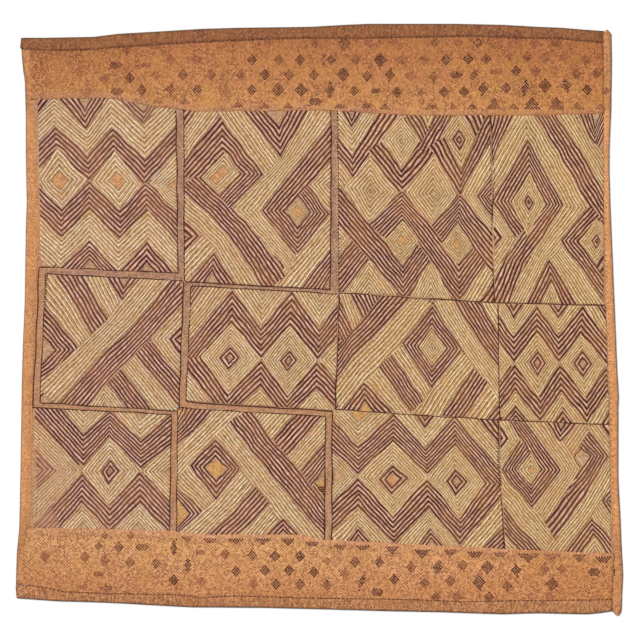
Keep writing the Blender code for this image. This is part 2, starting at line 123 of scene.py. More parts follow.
charts = {
    (1, 1): [
        Row(dark, 3, [(48, 100), (36, 115)], [(39, 97), (28, 110)]),
        Row(dark, 4, [(59, 97), (86, 128), (107, 95)], [(76, 97), (85.5, 111.5), (94, 95)]),
        Row(dark, 3, [(121, 100), (143.5, 123.5), (158, 102)],
            [(131, 100), (143.5, 113.5), (151, 102)], 0.25),
        Row(light, 6, [(36, 121), (54, 103.5), (87, 132), (111, 100), (144.5, 131), (177, 101)],
            [(34, 144), (54.5, 124), (87.5, 154), (112, 125.5), (145, 157), (178, 121)]),
        Row(dark, 5, [(34, 151), (56, 128), (88, 158), (113, 130), (145, 161), (178, 125)],
            [(34, 172), (57, 149), (89, 179), (114, 151), (145, 183), (179, 147)], 0.12),
        Row(light, 4, ring((38, 180), (57.5, 151), (85, 180), (62, 208)),
            ring((49.5, 180), (59.5, 168.5), (70.5, 180), (61, 192))),
        Row(light, 4, ring((94, 181), (115, 153), (140, 184), (121, 209.5)),
            ring((106.5, 181), (116.5, 169.5), (128, 182), (119, 193))),
        Row(light, 6, [(178, 156), (151, 184), (179, 211)], [(178, 177), (166, 186), (178, 193)]),
        Row(dark, 6, [(34, 184), (62, 211), (89.5, 182.5), (120, 212.5), (145.5, 185), (179, 217)],
            [(34, 209), (62, 236), (89.5, 207.5), (120, 238), (147, 209), (179, 243)], 0.08),
        Row(light, 7, [(34, 212), (61.5, 239.5), (90, 211), (119, 241.5), (148.5, 212.5), (179, 246)],
            [(34, 241), (61.5, 267), (90, 239), (118, 270), (148, 241), (179, 273)]),
        Row(dark, 5, [(60, 271), (89.5, 241.5), (118, 273)], [(79, 271), (90, 259), (102, 273)]),
        Row(dark, 4, [(118, 275), (147, 243.5), (175, 276)], [(135, 275), (147, 261), (160, 276)]),
    ],
    (1, 2): [
        Row(dark, 3, [(196, 110), (182, 131)], [(188, 107), (176, 124)]),
        Row(light, 7, [(199, 109), (181, 135)], [(221, 110), (181, 163)]),
        Row(light, 8, [(217, 109), (267, 177)], [(247, 110), (283, 160)]),
        Row(dark, 5, [(243, 108), (280, 155), (309, 107)], [(262, 109), (279.5, 129), (290, 107)]),
        Row(light, 8, [(268, 289), (331, 216)], [(301, 290), (333, 249)]),
        Row(light, 7, [(180, 191), (208, 217), (224, 233), (262, 289)],
            [(181, 219), (199, 233), (215, 250), (237, 288)]),
        Row(light, 7, [(181, 255), (202, 234)], [(186, 284), (216, 250)]),
        Row(light, 7, [(312, 107), (283, 157), (232, 209), (290, 271)],
            [(333, 116), (300, 158), (258, 211), (296, 258)]),
        Row(dark, 7, [(198, 176), (222, 199), (236, 213), (256, 236), (285, 277)],
            [(180, 187), (210, 214), (225, 230), (243, 253), (265, 290)]),
        Row(dark, 6, [(176, 176), (222.5, 123), (262.5, 174.5), (229, 208)],
            [(200, 178), (223, 154.5), (241, 173.5), (220, 197)]),
        Row(light, 3, ring((202, 178), (224, 155.5), (239, 173), (218.5, 193)),
            ring((208, 179), (222.5, 163.5), (231.5, 171), (217, 186))),
        Row(dark, 2, [(182, 221), (198, 236), (183, 251)], [(181, 229), (192, 236.5), (182, 244)]),
        Row(dark, 4, [(187, 286), (213.5, 254), (238, 290)], [(201, 286), (213, 270), (223, 288)]),
        Row(light, 5, [(333, 158), (308, 184.5), (331, 211)], [(333, 178), (324, 185), (332, 193)]),
        Row(dark, 6, [(333, 124), (300, 165), (263, 210.5), (297.5, 252.5), (328.5, 213.5), (307, 185.5)],
            [(333, 155), (306, 186.5), (283.5, 210.5), (298, 229), (311, 212.5), (298.5, 195)]),
        Row(light, 3, ring((287, 211), (297, 199), (307.5, 212), (298, 225)),
            ring((290.5, 211), (297, 203.5), (304, 212), (297.7, 220))),
        Row(dark, 6, [(300, 291), (331, 250)], [(321, 291), (332, 273)]),
    ],
    (1, 3): [
        Row(light, 6, [(334, 106), (352, 129), (364, 109)], [(334, 131), (352, 153.5), (380, 110)]),
        Row(dark, 2, [(342, 110), (351, 126), (362, 110)], [(346, 110), (351, 120), (357, 110)]),
        Row(light, 5, [(334, 159), (372, 209)], [(334, 181), (369, 224)]),
        Row(light, 7, ring((346, 187), (370, 159), (396.5, 192), (369, 223.5)),
            ring((367.5, 191), (370.5, 187.5), (374, 191.5), (371, 195))),
        Row(light, 6, ring((382, 139), (401, 117), (418.5, 141), (401, 169.5)),
            ring((398, 141), (401, 137), (404, 142), (401, 146))),
        Row(dark, 5, [(404, 111), (426, 148)], [(420, 110), (432, 131)]),
        Row(light, 2, [(421, 111), (427.5, 125), (434, 111)], [(425, 111), (427.5, 118), (430, 111)]),
        Row(dark, 4, [(335, 135), (352, 158), (365, 138), (383, 110)],
            [(335, 153), (353, 176), (376, 144), (398, 113)]),
        Row(dark, 4, [(381, 143), (401.5, 171), (420, 150), (443, 110)],
            [(370, 150), (402, 189), (429, 158), (452, 113)]),
        Row(light, 7, ring((407, 192.5), (433.5, 157), (455.5, 195), (430, 226.5)),
            ring((428, 194), (433, 187), (438, 194.5), (432.5, 200.5))),
        Row(light, 4, ring((442, 139), (459, 115), (476, 139), (461.5, 172)),
            ring((450.5, 139), (459, 127), (467, 139), (460, 153))),
        Row(dark, 2, ring((452.5, 139.5), (459, 131), (464.5, 139.5), (459.5, 149)),
            ring((456.3, 139.5), (459, 136), (461.3, 139.5), (459.4, 143))),
        Row(light, 5, [(493, 141), (463, 194.5), (494, 239)], [(492, 170), (475, 196.5), (492, 221)]),
        Row(dark, 4, [(494, 176), (477.5, 197), (494, 218)], [(494, 191), (487.5, 197), (494, 204)]),
        Row(dark, 4, [(463, 110), (480, 142)], [(480, 110), (487, 125)]),
        Row(dark, 4, [(443, 139), (461, 174), (474, 147), (484, 124), (493, 110)],
            [(431, 146), (460, 192.5), (479, 158), (489, 137), (500, 120)]),
        Row(light, 8, [(343, 298), (369, 257), (399, 301)], [(364, 297), (369, 290), (375, 298)]),
        Row(light, 8, [(408, 303), (430.5, 260), (453, 306)], [(427, 304), (431, 296), (435, 304)]),
        Row(light, 6, [(461, 304), (485, 263)], [(479, 308), (498, 275)]),
        Row(dark, 3, [(477, 307), (496, 281)], [(488, 308), (499, 293)]),
        Row(light, 4, [(334, 217), (352.5, 238), (334, 262)], [(334, 231), (342, 238.5), (334, 246)]),
        Row(dark, 8, [(334, 265), (356, 238)], [(337, 298), (370, 256)]),
        Row(dark, 7, [(334, 183), (369, 226), (385, 244), (402.5, 268), (418, 245)],
            [(334, 217), (369, 257), (385, 276), (403.5, 297), (431, 258)]),
        Row(dark, 7, [(430, 229), (460, 196), (475, 215), (496, 240)],
            [(442, 242), (458, 221), (471, 243), (497, 277)]),
        Row(dark, 7, [(370, 225), (402, 196), (431, 228), (459, 266), (473, 249)],
            [(385, 238), (402, 219), (430, 258), (459, 299), (485, 262)]),
        Row(light, 4, ring((385, 240.5), (402, 222), (417, 241), (400, 259)),
            ring((394, 241), (401, 233), (407.5, 241), (400.5, 248.5))),
        Row(light, 4, ring((443, 244), (457, 227), (470, 244), (458, 263)),
            ring((451.5, 244), (457, 237), (462, 244), (457.5, 251))),
    ],
    (1, 4): [
        Row(light, 8, [(549, 257), (563, 279), (581, 309)], [(558, 242), (581, 272), (606, 309)]),
        Row(light, 8, [(489, 203), (527, 137), (566, 206), (537, 247), (504, 308)],
            [(486, 160), (525.7, 90), (592, 209), (549, 260), (525, 308)]),
        Row(light, 7, [(554, 108), (582, 152), (607, 197)], [(577, 108), (595, 145), (607, 163)]),
        Row(dark, 6, [(494, 108), (488, 130), (484, 150)], [(515, 108), (500, 141), (489, 172)]),
        Row(light, 6, [(487, 197), (519, 240), (491, 288)], [(488, 217), (504.5, 238), (488, 260)]),
        Row(dark, 2, [(487, 221), (501, 238), (488, 253)], [(487, 230), (495, 238), (488, 246)]),
        Row(dark, 6,
            [(516, 237), (493.5, 201), (527.5, 141), (562.5, 205.5), (541, 237), (523, 262), (505, 309)],
            [(528, 226), (511, 201.5), (529.5, 171), (546.5, 204.5), (527, 229), (506, 258), (488, 298)]),
        Row(light, 5, ring((512.5, 202), (529.5, 175), (543.5, 204), (527.5, 234)),
            ring((523.3, 202), (528.3, 193.5), (533.5, 202.5), (528.3, 211))),
        Row(dark, 2, ring((524.5, 202), (528, 196), (532.3, 202.5), (528.5, 209)),
            ring((527.4, 202), (528.4, 200.3), (529.6, 202.3), (528.5, 204))),
        Row(dark, 6, [(533, 108), (566, 164), (588, 203), (607, 228)],
            [(549, 107), (580, 153), (592, 174), (608, 204)]),
        Row(dark, 4, [(577, 106), (587, 131), (595.5, 143), (606, 118)],
            [(590, 110), (592.5, 121), (595, 129), (600, 112)]),
        Row(dark, 5, [(590, 207), (561.5, 241), (583, 269), (606, 301)],
            [(601, 217), (577.5, 241), (592, 262), (605, 279)]),
        Row(light, 4, ring((580.5, 241), (597, 221.5), (610, 241), (597, 262)),
            ring((589.5, 241), (596.5, 232.5), (602.5, 241), (596.5, 250.5))),
        Row(dark, 2, ring((592, 241), (597, 235), (600.5, 241), (596, 247.5)),
            ring((595, 241), (597, 238.8), (598.3, 241), (596.5, 243.3))),
        Row(dark, 2, [(597, 267.5), (607, 250)], [(600, 272), (608, 259)]),
        Row(dark, 4, [(524, 309), (549.5, 261.5), (579, 310)], [(537, 308), (550.5, 279), (565, 309)]),
        Row(light, 4, [(541, 308), (551, 284), (562, 309)], [(549, 308), (551, 301), (553, 308)]),
    ],
    (2, 1): [
        Row(light, 7, [(50, 270), (70, 298), (93, 338)], [(42, 305), (60, 326), (80, 351)]),
        Row(light, 7, [(108, 273), (122, 304)], [(83, 273), (110, 323)]),
        Row(dark, 6, [(80, 272), (90, 291), (108, 322)], [(53, 270), (71, 295), (94, 336)], 0.1),
        Row(dark, 3, [(107, 274), (122.5, 300), (143, 275)], [(117, 275), (124, 288.5), (133, 276)]),
        Row(dark, 6, [(42, 305), (60, 327), (78, 350), (62, 369), (38, 389)],
            [(42, 334), (50, 342), (56, 350), (50, 357), (40, 366)]),
        Row(light, 8, [(145, 275), (108, 320), (78, 350), (38, 388)],
            [(172, 277), (140, 316), (108, 349), (59, 405)]),
        Row(light, 5, [(187, 300), (152, 339), (185, 381)], [(186, 319), (167, 339.5), (185, 361)]),
        Row(dark, 2, [(185, 324), (170, 339.5), (185, 357)], [(185, 332), (175, 339.5), (185, 348)]),
        Row(light, 8, [(133, 353), (183, 413)], [(119, 367), (155, 414)]),
        Row(dark, 6, [(146, 340), (186, 387)], [(134, 351), (184, 410)]),
        Row(dark, 7, [(120, 370), (154, 414)], [(106, 383), (129, 413)]),
        Row(light, 5, [(85, 409), (104.5, 383), (128, 413)], [(100, 409), (105, 400), (111, 410)]),
        Row(dark, 7, [(176, 275), (148, 311), (128, 334), (108, 351), (58, 406)],
            [(187, 298), (162, 324), (137, 350), (110, 378), (84, 408)], 0.05),
    ],
    (2, 2): [
        Row(light, 7, [(208, 285), (185, 317)], [(231, 287), (184, 346)]),
        Row(dark, 3, [(204, 286), (187, 311)], [(197, 285), (186, 301)], 0.2),
        Row(light, 7, [(234, 287), (261.5, 327), (290, 289)], [(256, 286), (262.5, 297), (269, 287)]),
        Row(light, 7, [(293, 290), (319, 328), (346, 292)], [(314, 289), (319.5, 299), (326, 291)]),
        Row(light, 7, [(182, 367), (214, 408)], [(183, 397), (192, 409)]),
        Row(light, 4, [(342, 334), (320.5, 359), (342, 386)], [(342, 350), (331, 360), (342, 371)]),
        Row(dark, 6, [(180, 358), (232.5, 291.5), (261, 330), (291.5, 293), (319, 331), (345, 297)],
            [(200, 356.5), (232, 321), (261, 356), (290.5, 324), (318, 358), (342, 328)]),
        Row(light, 5, [(232, 412), (260, 387), (285, 415)], [(251, 412), (260, 402), (269, 414)]),
        Row(light, 5, [(291, 414), (316, 388), (339, 415)], [(308, 414), (316, 404), (325, 415)]),
        Row(dark, 5, [(200, 356.5), (227.5, 396), (261, 362), (287, 396.5), (317, 364), (341, 391)],
            [(180, 358), (226, 417), (260.5, 384), (286, 417), (316.5, 386), (341, 412)]),
        Row(light, 6, ring((202, 356.5), (231.5, 324), (259, 358), (228.5, 393)),
            ring((217.5, 357.5), (230.5, 343), (242, 358), (228.5, 373))),
        Row(light, 6, ring((263, 359), (290, 327), (316, 360), (287.5, 394)),
            ring((277.5, 360), (289, 345.5), (300, 360), (287.5, 375))),
        Row(dark, 2, ring((220.5, 358), (230.5, 347.5), (238.5, 358), (228.5, 368.5)),
            ring((225.5, 358), (230, 352.5), (234.5, 358), (229, 363.5))),
        Row(dark, 2, ring((280.5, 360.5), (289.5, 351), (296.5, 360), (287.5, 370)),
            ring((284.8, 360.5), (289, 356), (292.5, 360.2), (288, 365))),
    ],
    (2, 3): [
        Row(light, 5, [(351, 291), (363, 320)], [(339, 292), (353, 329)]),
        Row(dark, 7, [(374, 292), (380, 304)], [(350, 291), (363, 317)]),
        Row(dark, 5, [(337, 304), (353, 332)], [(333, 321), (344, 342)]),
        Row(light, 8, [(333, 385), (354, 356), (374, 339), (414, 294)],
            [(341, 413), (366, 383), (403, 343), (433, 305)]),
        Row(light, 6, [(404, 345), (433, 390)], [(391, 356), (424, 404)]),
        Row(light, 7, [(382, 367), (415, 412)], [(366, 383), (396, 416)]),
        Row(light, 8, [(455, 299), (471, 328), (502, 373)], [(434, 302), (461, 345), (502, 405)]),
        Row(light, 4, [(492, 299), (502, 316)], [(480, 299), (502, 336)]),
        Row(light, 7, [(463, 352), (432, 391), (415, 418)], [(475, 369), (455, 394), (440, 420)]),
        Row(light, 6, [(488, 385), (462, 422)], [(500, 403), (484, 424)]),
        Row(dark, 6, [(335, 355), (352, 333), (368, 316), (387, 292)],
            [(334, 381), (352, 355), (372, 337), (414, 291)]),
        Row(dark, 6, [(391, 356), (422, 401)], [(380, 366), (411, 411)]),
        Row(dark, 6, [(474, 369), (440, 420)], [(487, 382), (461, 421)]),
        Row(dark, 7, [(477, 299), (487, 317), (502, 342)], [(454, 299), (475, 333), (502, 370)]),
        Row(dark, 3, [(500, 405), (484, 424)], [(501, 416), (493, 425)]),
        Row(dark, 4, [(341, 413), (364, 383.5), (396, 418)], [(356, 412), (364.5, 399), (377, 415)]),
        Row(dark, 5, ring((403.5, 344), (432, 308), (461, 349), (432, 386.5)),
            ring((418, 347), (431.5, 328), (447, 348.5), (431.5, 366.5))),
        Row(light, 5, ring((420, 347), (431.5, 330), (445, 348.5), (431.5, 364.5)),
            ring((430.5, 347.5), (432, 345), (434, 348), (432, 350.5))),
    ],
    (2, 4): [
        Row(light, 5, [(501, 300), (513.5, 320), (527, 300)], [(497, 310), (513.5, 335), (537, 302)]),
        Row(light, 5, [(545, 301), (558, 320), (571, 302)], [(537, 304), (558.5, 336), (583, 304)]),
        Row(light, 6, [(601, 303), (611, 320)], [(583, 303), (610, 345)]),
        Row(dark, 2, [(504, 301), (513.5, 317), (524, 302)], [(508, 301), (513, 311), (519, 302)]),
        Row(dark, 2, [(548, 302), (558, 317), (569, 303)], [(552, 302), (558, 311.5), (564, 303)]),
        Row(dark, 4, [(606, 303), (611, 311)], [(595, 302), (611, 327)]),
        Row(light, 4, [(496, 342), (511, 362), (496, 384)], [(495, 354), (502, 362), (495, 370)]),
        Row(dark, 5, [(494, 312), (513.5, 338), (537, 307.5), (558.5, 338.5), (582.5, 307.5), (612, 348)],
            [(494, 334), (513.5, 360), (537, 331), (558.8, 360), (581, 332), (612, 368)]),
        Row(light, 4, [(496, 417), (515.5, 391), (542, 426)], [(504, 417), (515.5, 403), (532, 424)]),
        Row(light, 4, [(541, 423), (562, 392), (589, 428)], [(551, 423), (562, 404), (578, 426)]),
        Row(light, 5, [(587, 425), (606, 394), (616, 406)], [(602, 426), (608, 412), (613, 421)]),
        Row(dark, 2, [(507, 422), (515.5, 411), (528, 426)], [(511, 422), (515.5, 416), (522, 424)]),
        Row(dark, 2, [(553, 425), (562, 412), (575, 427)], [(558, 425), (563, 418), (569, 426)]),
        Row(dark, 2, [(601, 426), (612, 408)], [(605, 427), (613, 416)]),
        Row(dark, 5,
            [(492, 398), (514.5, 366), (540, 396), (559.5, 366), (586.5, 397), (605.5, 369), (616, 386)],
            [(496, 413), (515, 389), (540.5, 420), (561, 390), (587, 421), (607, 391), (617, 405)]),
        Row(light, 4, ring((516, 362), (537, 334.5), (557, 363), (537.5, 394.5)),
            ring((525.5, 362), (537, 347.5), (549, 363), (537.5, 379.5))),
        Row(light, 4, ring((561.5, 363), (581.5, 336), (603.5, 364.5), (585, 395)),
            ring((569.5, 363), (582, 347.5), (596, 364), (583.5, 381))),
        Row(dark, 2, ring((530, 362), (537.5, 351.5), (545, 363), (537.3, 375)),
            ring((533.5, 362.5), (537.2, 357), (541, 362.7), (537.2, 369))),
        Row(dark, 2, ring((574, 363.5), (582, 352), (591, 363.5), (583, 376.5)),
            ring((578, 364), (582, 358), (587, 363.5), (582.8, 370.5))),
    ],
    (3, 1): [
        Row(light, 5, [(60, 406), (83, 433), (108, 408)], [(77, 407), (84, 416), (92, 408)]),
        Row(light, 5, [(113, 409), (140.5, 440), (172, 413)], [(131, 411), (140, 423), (152, 412)]),
        Row(light, 8, [(28, 412), (82, 470.5), (22, 535)], [(28, 441), (58, 470.5), (28, 500)], 0.25),
        Row(dark, 3, [(36, 452), (53, 469), (37, 485)], [(36, 463), (43.5, 469.5), (37, 477)], 0.4),
        Row(light, 6, [(172, 444), (144, 471), (172, 501)], [(172, 464), (163, 472), (172, 481)]),
        Row(dark, 7, [(58, 406), (83.5, 436), (110, 412), (141, 442), (173, 414)],
            [(31, 407), (83.5, 464), (109.5, 435), (141, 467), (173, 442)]),
        Row(light, 5, [(56, 533), (82.5, 504), (108, 534)], [(74, 530), (82.5, 520), (92, 530)]),
        Row(light, 5, [(112, 534), (139.5, 504), (167, 535)], [(129, 531), (139, 520), (149, 531)]),
        Row(dark, 6, [(24, 538), (54, 507)], [(47, 542), (62, 524)], 0.55),
        Row(dark, 6, [(53, 508), (82.5, 475), (109.5, 505), (140, 473.5), (172, 509)],
            [(61, 525), (82.5, 501), (110, 530), (140, 501), (172, 534)], 0.1),
        Row(light, 5, ring((83.5, 470.5), (110, 439), (138, 471), (109, 503.5)),
            ring((98, 471), (110, 456), (122.5, 470.5), (109, 487))),
        Row(dark, 2, ring((102, 471.5), (110.5, 461), (119.5, 470.5), (109, 482.5)),
            ring((106.5, 471.2), (110.3, 466), (115, 470.5), (109.5, 476.5))),
    ],
    (3, 2): [
        Row(light, 11, [(258, 408), (251, 417)], [(299, 412), (272, 441)]),
        Row(light, 8, [(327, 411), (288, 457)], [(327, 442), (299, 474)]),
        Row(dark, 6, [(301, 411), (274, 440)], [(325, 411), (286, 455)]),
        Row(dark, 6, [(328, 441), (301, 471)], [(328, 463), (311, 485)]),
        Row(light, 9, [(217, 403), (200, 420), (186, 433), (172, 447)],
            [(248, 407), (214.5, 440), (190, 464), (170, 486)]),
        Row(dark, 5, [(194, 405), (185, 419), (175, 432)], [(215, 404), (194, 430), (174, 445)]),
        Row(light, 7, [(188, 467), (216, 500)], [(174, 482), (206, 512)]),
        Row(light, 7, [(241, 472), (217, 500), (200, 516), (176, 537)],
            [(256, 486), (240, 504), (224, 519), (205, 539)]),
        Row(light, 8, [(269, 502), (236, 541)], [(285, 516), (263, 542)]),
        Row(light, 8, [(231, 422), (270, 471), (324, 538)], [(214, 436), (243, 471), (301, 545)]),
        Row(dark, 3, [(172, 484), (199, 513.5), (174, 536)], [(174, 493), (190, 513.5), (174, 532)]),
        Row(dark, 6, [(256.5, 487), (236, 511), (204, 541)], [(268, 502), (252, 520), (227, 543)]),
        Row(dark, 7, [(249, 410), (273, 444), (293, 465), (312, 490), (329, 512)],
            [(230, 421), (252, 449), (270, 471), (295, 500), (328, 540)]),
        Row(dark, 3, [(263, 540), (283, 519), (302, 541)], [(273, 540), (283, 529), (293, 541)]),
        Row(dark, 4, ring((191, 465.5), (215.5, 440.5), (239.5, 468), (216, 498)),
            ring((204, 467), (215.5, 456), (228.5, 469), (216, 481.5))),
    ],
    (3, 3): [
        Row(light, 6, [(328, 411), (358, 445), (394, 411)], [(343, 409), (358, 424), (374, 410)]),
        Row(light, 5, [(395, 413), (426, 447.5), (455, 415)], [(413, 411), (425, 431), (438, 412)]),
        Row(dark, 2, [(414, 411), (424.7, 426.5), (436, 412)], [(419, 412), (425, 420.5), (431, 413)]),
        Row(light, 6, [(456, 415), (504, 470)], [(477, 416), (504, 450)]),
        Row(dark, 3, [(478, 416), (503, 447)], [(489, 416), (503, 435)]),
        Row(light, 5, [(327, 444), (356, 476), (327, 508)], [(327, 460), (344, 476), (327, 492)]),
        Row(dark, 7, [(327, 415), (358, 448), (393.5, 415), (425.5, 450), (454.5, 418), (509, 483)],
            [(327, 443), (358, 473), (393, 440), (427, 473), (455, 443), (486, 483)]),
        Row(light, 5, [(328, 535), (358, 508), (392, 545)], [(342, 545), (358, 523), (376, 545)]),
        Row(light, 6, [(396, 546), (429.5, 510), (460, 548)], [(414, 548), (430.5, 526), (448, 550)]),
        Row(light, 6, [(462, 548), (505, 497)], [(482, 551), (507, 523)]),
        Row(dark, 2, [(345, 546), (358, 530), (372, 546)], [(350, 546), (358.5, 535), (367, 546)]),
        Row(dark, 2, [(418, 550), (431, 533), (445, 551)], [(423, 550), (431, 538), (440, 551)]),
        Row(dark, 5, [(481, 550), (506, 527)], [(497, 553), (508, 541)]),
        Row(dark, 6, [(327, 509), (358, 479.5), (393, 517.5), (427, 480), (460, 518), (486, 483)],
            [(327, 534), (358, 504.5), (393.5, 541.5), (428.5, 506), (460, 543), (509, 485)]),
        Row(light, 6, ring((359.5, 476), (393, 443), (426, 477), (393, 515)),
            ring((376.5, 478), (393, 462), (409, 478), (392.5, 495.5))),
        Row(light, 6, ring((429, 478), (455, 446), (484, 483), (459, 516)),
            ring((444.5, 481), (455, 466.5), (469, 481.5), (457, 496.5))),
        Row(dark, 2, ring((380, 479), (393, 466), (406.5, 478), (391.5, 493)),
            ring((385, 479), (393, 470.5), (401, 478), (392, 488))),
        Row(dark, 2, ring((447, 481.5), (455, 470), (467, 481), (456, 494)),
            ring((451.3, 481.5), (455.5, 475), (462.3, 481.3), (456.3, 488.5))),
    ],
    (3, 4): [
        Row(light, 5, [(512, 418), (522, 440), (498, 469)], [(497, 419), (510, 438), (497, 457)]),
        Row(dark, 2, [(495, 422), (507, 438), (496, 453)], [(495, 430), (502, 438), (496, 446)]),
        Row(light, 6, [(577, 420), (559, 446)], [(594, 423), (573, 453)], 0.3),
        Row(light, 6, [(601, 421), (616, 440)], [(588, 427), (614, 463)], 0.2),
        Row(light, 7, [(523, 417), (562, 470), (534, 508)], [(547, 417), (579, 469), (545, 520)], 0.15),
        Row(light, 9, [(498, 466), (532, 508), (570, 557)], [(500, 506), (519, 529), (545, 555)]),
        Row(light, 7, [(609, 459), (592, 487), (576, 512), (544, 552)],
            [(615, 478), (604, 498), (592, 517), (562, 557)]),
        Row(light, 7, [(601, 503), (616, 523)], [(592, 515), (615, 548)]),
        Row(light, 4, [(503, 530), (522, 554)], [(503, 543), (511, 554)]),
        Row(dark, 3, [(545, 419), (560.5, 441), (578, 420)], [(556, 421), (561, 431), (566.5, 421)]),
        Row(dark, 2, [(606, 421), (615, 433)], [(601, 422), (614, 441)]),
        Row(dark, 6, [(500, 503), (519, 528), (545, 554)], [(501, 528), (511, 540), (523, 553)]),
        Row(dark, 6, [(520, 441), (502, 469.5), (532, 506.5), (559.5, 470), (521, 417)],
            [(530, 452), (518, 469.5), (530.5, 485), (541, 469), (507, 416)]),
        Row(light, 3, ring((519.5, 470), (531, 454), (539.5, 469.5), (530.5, 483)),
            ring((526.5, 470), (531, 463.5), (535.5, 469.5), (531, 476))),
        Row(dark, 4, [(583, 440), (597, 456), (582, 480), (565, 498), (546, 523)],
            [(589, 432), (607, 456), (591, 484), (574, 509), (553, 537)], 0.1),
        Row(dark, 3, [(616, 483), (602.5, 501), (616, 521)], [(616, 494), (609, 501), (616, 510)]),
        Row(dark, 4, [(564, 556), (592, 519), (617, 548)], [(576, 557), (593.5, 534), (614, 560)]),
        Row(light, 3, [(580, 557), (594, 539), (608, 558)], [(589, 556), (594, 547), (600, 557)]),
    ],
}

# The compartments' corners on the chart: top left, top right, bottom right, bottom left. Those of the
# outer rows reach in under a band, which hides their ends.
borders = {
    (1, 1): ((37.5, 92), (176, 104), (178, 273), (41, 268)),
    (1, 2): ((184, 104), (331, 105), (330, 289.5), (184.5, 281.5)),
    (1, 3): ((338, 105), (489.5, 110), (494, 302.5), (339, 292)),
    (1, 4): ((491.5, 110), (603.5, 108), (603.5, 305), (495, 302.5)),
    (2, 1): ((46, 274.5), (183, 280.5), (179, 411), (40, 402.5)),
    (2, 2): ((191, 286), (338.5, 294), (334.5, 410.5), (186, 400.5)),
    (2, 3): ((339.5, 293), (497.5, 303.5), (499.5, 420), (335.5, 409)),
    (2, 4): ((498.5, 303.5), (605.5, 306), (609, 424.5), (500, 420)),
    (3, 1): ((35, 408), (171.5, 414.5), (169.5, 538), (33, 535)),
    (3, 2): ((177.5, 407.5), (325.5, 416.5), (324, 545), (176.8, 540)),
    (3, 3): ((332.5, 409.5), (498, 420.5), (504, 556), (332, 548)),
    (3, 4): ((499.5, 420.5), (609, 425), (611, 560), (505.5, 556)),
}


# A whole, a half and a quarter turn, and a length that counts as none
fullTurn, halfTurn, quarterTurn = 6.283, 3.14159, 1.571
tiny = 1e-6


# Where a line lies at one distance, or at many.
def read(line, along):
    return np.interp(along, line.along, line.place)


# Smooth unevenness about that long: a sum of sines, each sin(2 pi (x cos t + y sin t) s / length + p),
# over the root of their number.
def ripple(x, y, length, seed, parts=5):
    maker = np.random.default_rng(seed)
    total = 0.0
    for _ in range(parts):
        turn, phase, stretch = maker.uniform((0.0, 0.0, 0.7), (fullTurn, fullTurn, 1.5))
        total = total + np.sin((x * np.cos(turn) + y * np.sin(turn)) * fullTurn * stretch / length + phase)
    return total / parts**0.5


# How the cloth lies: its mean height over the floor, and the height and length of its long and short
# waves
lying = dict(height=0.35, swell=0.14, swellLength=130.0, wave=0.07, waveLength=38.0)


# How far the cloth stands off the floor, in mm, at a place measured from its middle.
def lie(x, y):
    swell = lying["swell"] * ripple(x, y, lying["swellLength"], 3)
    return lying["height"] + swell + lying["wave"] * ripple(x, y, lying["waveLength"], 4)


# Chart points as (x, y) from the middle of the cloth.
def fromChart(points):
    across, down = np.asarray(points, float).T
    return np.stack((across - chartMiddle, chartMiddle - down), -1)


# The other way: chart points from x and y from the middle of the cloth.
def fromMiddle(x, y):
    return np.stack((x + chartMiddle, chartMiddle - y), -1)


# The lengths of a path's steps.
def stepsOf(path):
    return np.linalg.norm(np.diff(path, axis=0), axis=1)


# How far along a path each of its points is.
def distances(path):
    return np.concatenate(([0.0], np.cumsum(stepsOf(path))))


# The points of a path at some marks, where its own points have the given marks.
def pointsAt(wanted, marks, path):
    return np.stack([np.interp(wanted, marks, path[:, k]) for k in (0, 1)], -1)


# A step of length 1 to the left of each run.
def sideways(run):
    return np.stack((-run[:, 1], run[:, 0]), -1) / np.maximum(np.linalg.norm(run, axis=1), tiny)[:, None]


# Rows of arrays joined end to end, one array for each place in a row.
def joined(rows):
    return [np.concatenate(part) for part in zip(*rows)]


# A new object in the scene.
def putObject(name, data):
    placed = bpy.data.objects.new(name, data)
    bpy.context.scene.collection.objects.link(placed)
    return placed


# An object from points in mm and a table of faces, with a UV map and point attributes if they are
# given.
def putMesh(name, points, faces, material, uv=None, values=None):
    points, faces = np.asarray(points, float), np.asarray(faces)
    mesh = bpy.data.meshes.new(name)
    mesh.vertices.add(len(points))
    mesh.vertices.foreach_set("co", (points * mm).ravel())
    mesh.loops.add(faces.size)
    mesh.loops.foreach_set("vertex_index", faces.ravel().astype(np.int32))
    mesh.polygons.add(len(faces))
    mesh.polygons.foreach_set("loop_start", np.arange(0, faces.size, faces.shape[1], dtype=np.int32))
    mesh.update(calc_edges=True)
    mesh.validate()
    if uv is not None:
        layer = mesh.uv_layers.new(name="UVMap")
        layer.data.foreach_set("uv", np.asarray(uv, float)[faces.ravel()].ravel())
    for key, value in (values or {}).items():
        attribute = mesh.attributes.new(key, "FLOAT", "POINT")
        attribute.data.foreach_set("value", np.asarray(value, np.float32).ravel())
    mesh.shade_smooth()
    mesh.materials.append(material)
    piece = putObject(name, mesh)
    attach(piece, "root")
    return piece


# The quads of a grid of points.
def gridFaces(rows, columns):
    index = np.arange(rows * columns).reshape(rows, columns)
    return np.stack((index[:-1, :-1], index[:-1, 1:], index[1:, 1:], index[1:, :-1]), -1).reshape(-1, 4)


# The quads of many such grids, their points one grid after the other.
def manyGrids(count, rows, columns):
    starts = np.arange(count) * rows * columns
    return (gridFaces(rows, columns)[None] + starts[:, None, None]).reshape(-1, 4)


# The same quads, each turned so that it faces up.
def facingUp(points, faces):
    corner = points[faces][:, :, :2]
    first, second = corner[:, 2] - corner[:, 0], corner[:, 3] - corner[:, 1]
    down = first[:, 0] * second[:, 1] - first[:, 1] * second[:, 0] < 0.0
    return np.where(down[:, None], faces[:, ::-1], faces)


